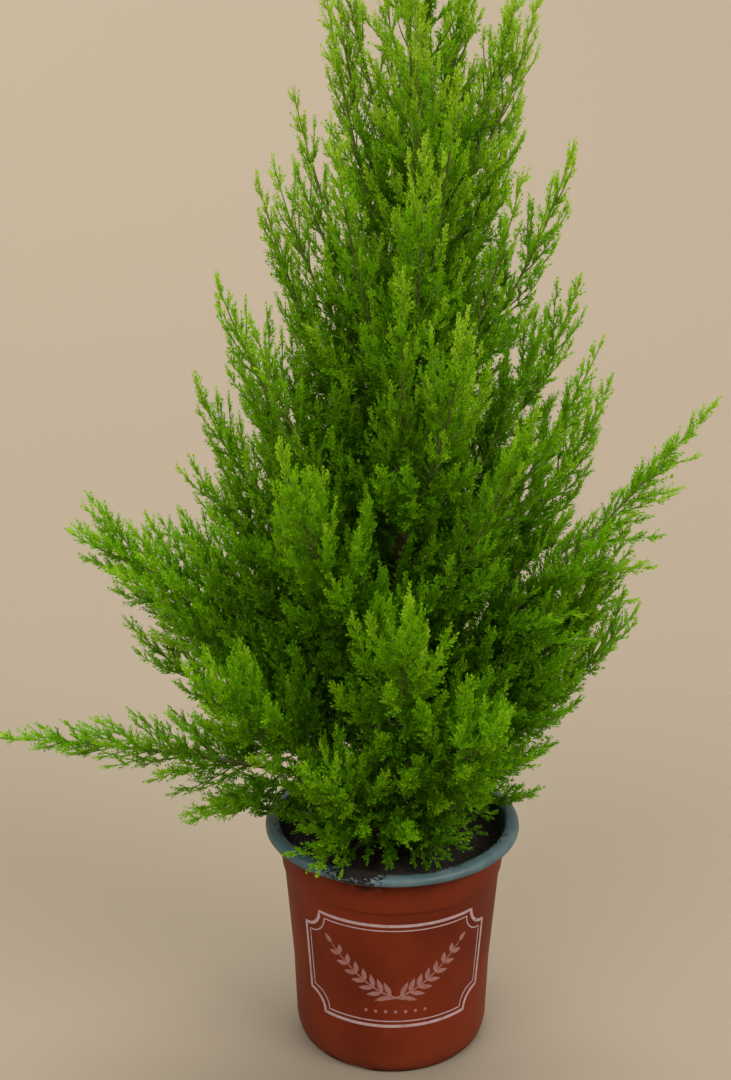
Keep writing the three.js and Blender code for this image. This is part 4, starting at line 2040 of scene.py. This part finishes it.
    def _grow_mass(self, bough: Bough, index: int, stems: TwigBundle, axes: TwigBundle) -> Growth:
        """Grows one mass: its stem, the source's plumes, further plumes between them, and its tip.

        Args:
            bough: The bough that it stands on.
            index: The number of its seeds.
            stems: The thick twigs.
            axes: The thin twigs.

        Returns:
            The mass.
        """
        draws = Draws(self.source_seed + index)
        extra = np.random.default_rng(self.own_seed + index)
        growth = Growth(stems, axes, extra)
        habit = HABITS.get(bough.name, HABITS[bough.tier])
        length = bough.length()
        start = bough.enter + SEAM / length if bough.enter > 0 else 0.0
        thick = self.limb_girth if bough.enter else min(self.stem_girth, bough.girth)
        stem = bough.point(np.linspace(start, self.stem_reach, 14))
        stems.add(stem, thick, self.stem_end)
        # Painted shade: the shoots along the stem get darker tints
        self._clothe(stem[2:], 0.5 * length, -0.1, growth, self.stem_shoot)
        low = max(start + 0.02, self.first)
        for k in range(self.plumes):
            along = (k + 0.5) / self.plumes
            roll = k * GOLDEN_ANGLE + draws() * 0.6
            size = bough.spray * (1 - self.taper * along) * (1 + self.varies * (draws() - 0.5))
            self._plume(bough, habit, lerp(low, self.last, along), along, roll, size, growth)
        more = round(length * (self.further - low) / habit.between)
        for k in range(more):
            along = (k + extra.uniform(0.2, 0.8)) / more
            roll = (k + 0.5) * GOLDEN_ANGLE + extra.uniform(0, 1.2)
            size = bough.spray * (1 - self.taper * along) * extra.uniform(0.55, 1.0)
            self._plume(bough, habit, lerp(low, self.further, along), along, roll, size, growth)
        for k in range(self.limb_plumes if bough.enter else 0):
            place = lerp(0.3, 1.0, (k + extra.uniform(0, 1)) / self.limb_plumes) * bough.enter
            roll = k * GOLDEN_ANGLE + extra.uniform(0, 6.3)
            size = bough.spray * extra.uniform(0.5, 0.8)
            self._plume(bough, habit, place, 0.0, roll, size, growth)
        tip = bough.point(np.linspace(self.stem_reach - 0.1, 1, 9))
        self._clothe(tip, float(np.linalg.norm(tip[-1] - tip[0])), extra.uniform(-0.05, 0.05), growth)
        axes.add(tip, *self.tip_twig)
        return growth

    def _grow_inner(self, stems: TwigBundle, axes: TwigBundle) -> list[Growth]:
        """Grows the short plumes that stand on the trunk between the boughs, in bands from the foot up.

        Args:
            stems: The thick twigs.
            axes: The thin twigs.

        Returns:
            The masses, one for each band.
        """
        extra = np.random.default_rng(5)
        count = round((self.trunk_to - self.trunk_from) / self.trunk_gap)
        bands = [Growth(stems, axes, extra) for _ in range(self.trunk_bands)]
        stretches = np.linspace(self.trunk_from, self.trunk_to, self.trunk_bands + 1)
        for growth, low, high in zip(bands, stretches[:-1], stretches[1:], strict=True):
            line = self.trunk.point(self.trunk.share(np.linspace(low, high, 6)))
            # Painted shade: the shoots on the trunk get darker tints
            self._clothe(line, 3.4 * (high - low), -0.2, growth, self.trunk_shoot)
        for k in range(count):
            growth = bands[k * self.trunk_bands // count]
            height = lerp(self.trunk_from, self.trunk_to, (k + extra.uniform(0.1, 0.9)) / count)
            share = float(self.trunk.share(height))
            turn = k * GOLDEN_ANGLE + extra.uniform(-0.3, 0.3)
            outward = np.array([math.cos(turn), math.sin(turn), 0])
            root = self.trunk.point(share) + outward * float(self.trunk.thickness(np.array(share))) * 0.8
            size = read_off(self.trunk_plumes, height) * extra.uniform(0.75, 1.15)
            rise = read_off(self.trunk_rises, height)
            start = unit(outward * 0.85 + UP * rise)
            finish = unit(outward * 0.5 + UP * rise * 1.7)
            self._arch(root, start, finish, size, growth)
        return bands

    def _plume(
        self, bough: Bough, habit: Habit, share: float, along: float, roll: float, size: float,
        growth: Growth,
    ) -> None:
        """Grows one plume by the source's rule, turning up and ahead towards its tip.

        Args:
            bough: The bough that it stands on.
            habit: How plumes grow there.
            share: Where it stands on the bough.
            along: How far out it is among its like.
            roll: Its turn about the bough.
            size: Its length before the habit scales it.
            growth: The mass that it belongs to.
        """
        forward = bough.ahead(share)
        normal = unit(np.cross(bough.side, forward))
        angle = math.radians(lerp(*self.plume_angle, along))
        outward = bough.side * math.cos(roll) + normal * math.sin(roll)
        direction = unit(forward * math.cos(angle) + outward * math.sin(angle) + UP * self.lift)
        finish = unit(direction * (1 - habit.follow) + forward * habit.follow + UP * habit.rise)
        upright = float(outward[2])
        below = lerp(1, habit.under, min(1.0, 2 * along))
        size *= lerp(1, habit.over if upright > 0 else below, abs(upright)) * lerp(1, habit.outer, along)
        self._arch(bough.point(share), direction, finish, size, growth)

    def _arch(
        self, root: np.ndarray, start: np.ndarray, finish: np.ndarray, size: float, growth: Growth
    ) -> None:
        """Grows one plume along an arch, shortened until it keeps off the pot and the trunk.

        Args:
            root: Where it stands.
            start: Its direction there.
            finish: Its direction at the tip.
            size: Its full length.
            growth: The mass that it belongs to.
        """
        steps = np.linspace(0, 1, 6)[:, None]
        for shrink in self.shrinks:
            reach = size * shrink
            line = root + reach * (start * (steps - steps**2 / 2) + finish * steps**2 / 2)
            if self._clear(line[2:]):
                growth.axes.add(line, *self.plume_twig)
                self._clothe(line, reach, growth.extra.uniform(-0.14, 0.14), growth)
                return

    def _clear(self, points: np.ndarray) -> bool:
        """Whether a plume's points keep off the pot, the peat and the trunk.

        Args:
            points: The plume's points beyond its foot.

        Returns:
            Whether all of them do.
        """
        radius = np.hypot(points[:, 0], points[:, 1])
        over_peat = radius < self.pot.inner_radius(self.pot.filled) - self.room
        floor = np.where(over_peat, self.pot.heaped, self.pot.top)
        above = (points[:, 2] > floor + self.room * 0.5) | (radius > self.pot.lip_radius + self.room)
        share = self.trunk.share(points[:, 2])
        centre = self.trunk.point(share)
        off = np.hypot(points[:, 0] - centre[:, 0], points[:, 1] - centre[:, 1])
        free = (points[:, 2] > self.trunk.tip) | (off > self.trunk.thickness(share) + 0.5)
        return bool((above & free).all())

    def _clothe(self, line: np.ndarray, reach: float, mood: float, growth: Growth, most: float = 27) -> None:
        """Sets shoots round a plume's line, longest near its root, with side shoots, and one that ends it.

        Args:
            line: The plume's line.
            reach: Its length, for the number and the length of its shoots.
            mood: How much brighter it is than others; lower as painted shade for the shoots along stems and
                the trunk.
            growth: The mass that it belongs to.
            most: The most length of a shoot.
        """
        extra = growth.extra
        count = max(4, round(reach / self.shoot_gap))
        numbers = np.arange(count) + extra.uniform(-0.2, 0.2, count) + 0.5
        share = self.shoot_from + self.shoot_span * numbers / count
        knots = np.linspace(0, 1, len(line))
        places = np.column_stack([np.interp(share, knots, line[:, axis]) for axis in range(3)])
        tangents = unit(np.gradient(line, axis=0))
        ahead = unit(np.column_stack([np.interp(share, knots, tangents[:, axis]) for axis in range(3)]))
        roll = np.arange(count) * GOLDEN_ANGLE + extra.uniform(0, 6.3)
        angle = lerp(*self.shoot_angle, share) + extra.uniform(-7, 7, count)
        heading = self._turned(ahead, angle, roll, self.shoot_lift)
        longest = np.clip(self.shoot_share * reach, self.end_shoot, most)
        lengths = longest * (1 - self.shoot_taper * share**1.3) * extra.uniform(*self.shoot_varies, count)
        lengths = np.maximum(lengths, self.shoot_least)
        places = np.vstack([places, line[-1:] - tangents[-1:] * self.end_back])
        heading = np.vstack([heading, tangents[-1:]])
        lengths = np.append(lengths, self.end_shoot)
        share = np.append(share, 1.0)
        stays = self._stays(places, share)
        stays[-1] = True
        self._set(places, heading, lengths, share, stays, mood, growth)
        for place, least in self.forks:
            long = lengths > least
            if not long.any():
                continue
            some = int(long.sum())
            forks = places[long] + heading[long] * (lengths[long] * place)[:, None]
            angles = extra.uniform(*self.fork_angle, some)
            rolls = extra.uniform(0, 6.3, some)
            aside = self._turned(heading[long], angles, rolls, self.fork_lift)
            short = lengths[long] * (1 - place) * extra.uniform(*self.fork_share, some)
            forked = stays[long] & (self._stays(forks, share[long]) | (place < self.fork_spared))
            self._set(forks, aside, np.maximum(short, self.fork_least), share[long], forked, mood, growth)

    @staticmethod
    def _turned(ahead: np.ndarray, degrees: np.ndarray, roll: np.ndarray, lift: float) -> np.ndarray:
        """Directions turned off others by an angle, at a roll about them, and lifted a little.

        Args:
            ahead: The directions.
            degrees: The angles.
            roll: The rolls.
            lift: How much they rise.

        Returns:
            The new directions.
        """
        square = unit(np.cross(ahead, [0.31, 0.17, 0.93]))
        other = np.cross(ahead, square)
        outward = square * np.cos(roll)[:, None] + other * np.sin(roll)[:, None]
        angle = np.radians(degrees)[:, None]
        return unit(ahead * np.cos(angle) + outward * np.sin(angle) + UP * lift)

    def _set(
        self, places: np.ndarray, heading: np.ndarray, lengths: np.ndarray, share: np.ndarray,
        stays: np.ndarray, mood: float, growth: Growth,
    ) -> None:
        """Adds shoots.

        Args:
            places: Their roots.
            heading: Their directions.
            lengths: Their lengths.
            share: How far along the plume they stand.
            stays: Which of them stay, where they keep off the pot and the peat.
            mood: How much brighter the plume is than others; lower as painted shade for the shoots along
                stems and the trunk.
            growth: The mass that it belongs to.
        """
        tips = places + heading * lengths[:, None]
        keep = self._keep(places, tips) & stays
        light = self._light(tips, share, mood, growth.extra)
        growth.add(places[keep], heading[keep], lengths[keep], light[keep])

    def _stays(self, places: np.ndarray, share: np.ndarray) -> np.ndarray:
        """Which shoots stay: the crown grows airier with height, and least so at the tips of its plumes."""
        bare = read_off(self.airy, places[:, 2]) * lerp(1, self.airy_tip, share)
        return self.thinning.random(len(places)) >= bare

    def _keep(self, places: np.ndarray, tips: np.ndarray) -> np.ndarray:
        """Which shoots keep off the pot and the peat.

        Args:
            places: Their roots.
            tips: Their tips.

        Returns:
            Whether each does.
        """
        keep = np.ones(len(places), bool)
        inside = self.pot.inner_radius(self.pot.filled) - self.shoot_room
        for share in (0.35, 0.7, 1.05):
            points = places + (tips - places) * share
            radius = np.hypot(points[:, 0], points[:, 1])
            floor = np.where(radius < inside, self.pot.heaped + 0.5, self.pot.top + 1)
            keep &= (points[:, 2] > floor) | (radius > self.pot.lip_radius + self.shoot_room)
        return keep

    def _light(self, tips: np.ndarray, share: np.ndarray, mood: float, extra: Generator) -> np.ndarray:
        """How bright each shoot's tint is: outer and high shoots get painted light, inner ones painted
        shade, and plume tips are brighter.

        Args:
            tips: Their tips.
            share: How far along the plume they stand.
            mood: How much brighter the plume is than others; lower as painted shade for the shoots along
                stems and the trunk.
            extra: Random draws.

        Returns:
            The brightness, from about 0 to 1.
        """
        centre = self.trunk.point(self.trunk.share(tips[:, 2]))
        radius = np.hypot(tips[:, 0] - centre[:, 0], tips[:, 1] - centre[:, 1])
        outer = np.clip(radius / read_off(self.envelope, tips[:, 2]), 0, 1)
        high = np.clip((tips[:, 2] - self.light_from) / self.light_rise, 0, 1)
        # Painted light and shade: shoots near the crown's outline get brighter tints, those deep inside
        # darker
        shoot_brightness = self.light_least + self.light_outer * outer**1.3 + self.light_tip * share**1.2
        # Painted light: higher shoots get brighter tints
        shoot_brightness = shoot_brightness + self.light_high * high + self.light_high * high**4
        return shoot_brightness + mood + extra.uniform(-self.light_varies, self.light_varies, len(share))


# The studio


@dataclass(frozen=True)
class Lamp:
    """A soft light that falls on the plant from a place in metres, spread over some degrees of the sky."""

    name: str
    place: tuple
    spread: float
    power: float
    colour: tuple
    aim: tuple = (0, 0, 0.4)

    def build(self) -> None:
        """Adds the light."""
        data = bpy.data.lights.new(self.name, "SUN")
        data.angle = math.radians(self.spread)
        data.energy = self.power
        data.color = self.colour
        light = Piece.show(self.name, data)
        light.location = self.place
        light.rotation_euler = (Vector(self.aim) - Vector(self.place)).to_track_quat("-Z", "Y").to_euler()


@dataclass
class Studio:
    """A pale floor that rises into a seamless surround, soft lights, and the photograph's camera.

    Its lengths are in metres, apart from the lens and the sensor, which are in millimetres.
    """

    level: tuple = (0.5, 1.5)
    flat: float = 2.2
    far: float = 12.0
    rise: float = 7.2
    sides: int = 96
    lamps: tuple = (
        Lamp("key_light", (2.7, -1.9, 2.4), 36, 3.9, (1.0, 0.98, 0.95)),
        Lamp("fill_light", (-1.7, -2.6, 3.2), 40, 1.9, (0.98, 0.98, 1.0)),
        Lamp("top_light", (0.2, 0.9, 2.6), 38, 2.9, (1.0, 1.0, 0.98)),
    )
    air_colour: tuple = (1.0, 0.98, 0.95, 1)
    air_strength: float = 1.05
    camera_place: tuple = (-0.020, -1.0116, 0.7133)
    pitch: float = 72.41
    lens: float = 50
    sensor: float = 36

    def build(self) -> None:
        """Builds the floor, the lights and the camera."""
        self._floor()
        for lamp in self.lamps:
            lamp.build()
        self._air()
        self._camera()

    def _floor(self) -> None:
        """Adds the floor, level round the plant and swept up far from it."""
        sweep = [(lerp(self.flat, self.far, share), self.rise * share**2) for share in np.linspace(0, 1, 24)]
        rows = np.array([(0.0, 0.0), *((radius, 0) for radius in self.level), *sweep]) / MM
        floor = Piece.mesh("studio_floor", *turned(rows, self.sides), [StudioFloor().make()])
        Piece.tidy(floor, 180)
        floor.data.flip_normals()

    def _air(self) -> None:
        """Sets the even light from all round and the picture's tone."""
        world = bpy.data.worlds.new("studio_air")
        bpy.context.scene.world = world
        world.use_nodes = True
        world.node_tree.nodes.clear()
        bench = Bench(world.node_tree)
        sockets = {"Color": self.air_colour, "Strength": self.air_strength}
        sky = bench.node("ShaderNodeBackground", {}, sockets)
        leave = world.node_tree.nodes.new("ShaderNodeOutputWorld")
        world.node_tree.links.new(sky.socket, leave.inputs["Surface"])
        bpy.context.scene.view_settings.view_transform = "Standard"
        bpy.context.scene.view_settings.look = "None"

    def _camera(self) -> None:
        """Adds the camera."""
        data = bpy.data.cameras.new("camera")
        data.lens = self.lens
        data.sensor_width = self.sensor
        camera = Piece.show("camera", data)
        camera.location = self.camera_place
        camera.rotation_euler = (math.radians(self.pitch), 0, 0)
        bpy.context.scene.camera = camera


def main() -> None:
    """Builds the plant and its studio."""
    logging.basicConfig(level=logging.INFO, format="%(message)s")
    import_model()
    pot = Pot()
    pot.build(RedPlastic().make(), TealPlastic().make(), [FRAME_INK.make(), FAINT_INK.make()])
    RootBall(pot).build(DarkPeat().make())
    trunk = TrunkLine()
    boughs = plan_boughs(trunk)
    BarkedWood(trunk, boughs).build(Bark().make())
    Foliage(pot, trunk, boughs).build(STEM_SKIN.make(), PLUME_SKIN.make())
    Studio().build()


if __name__ == "__main__":
    main()
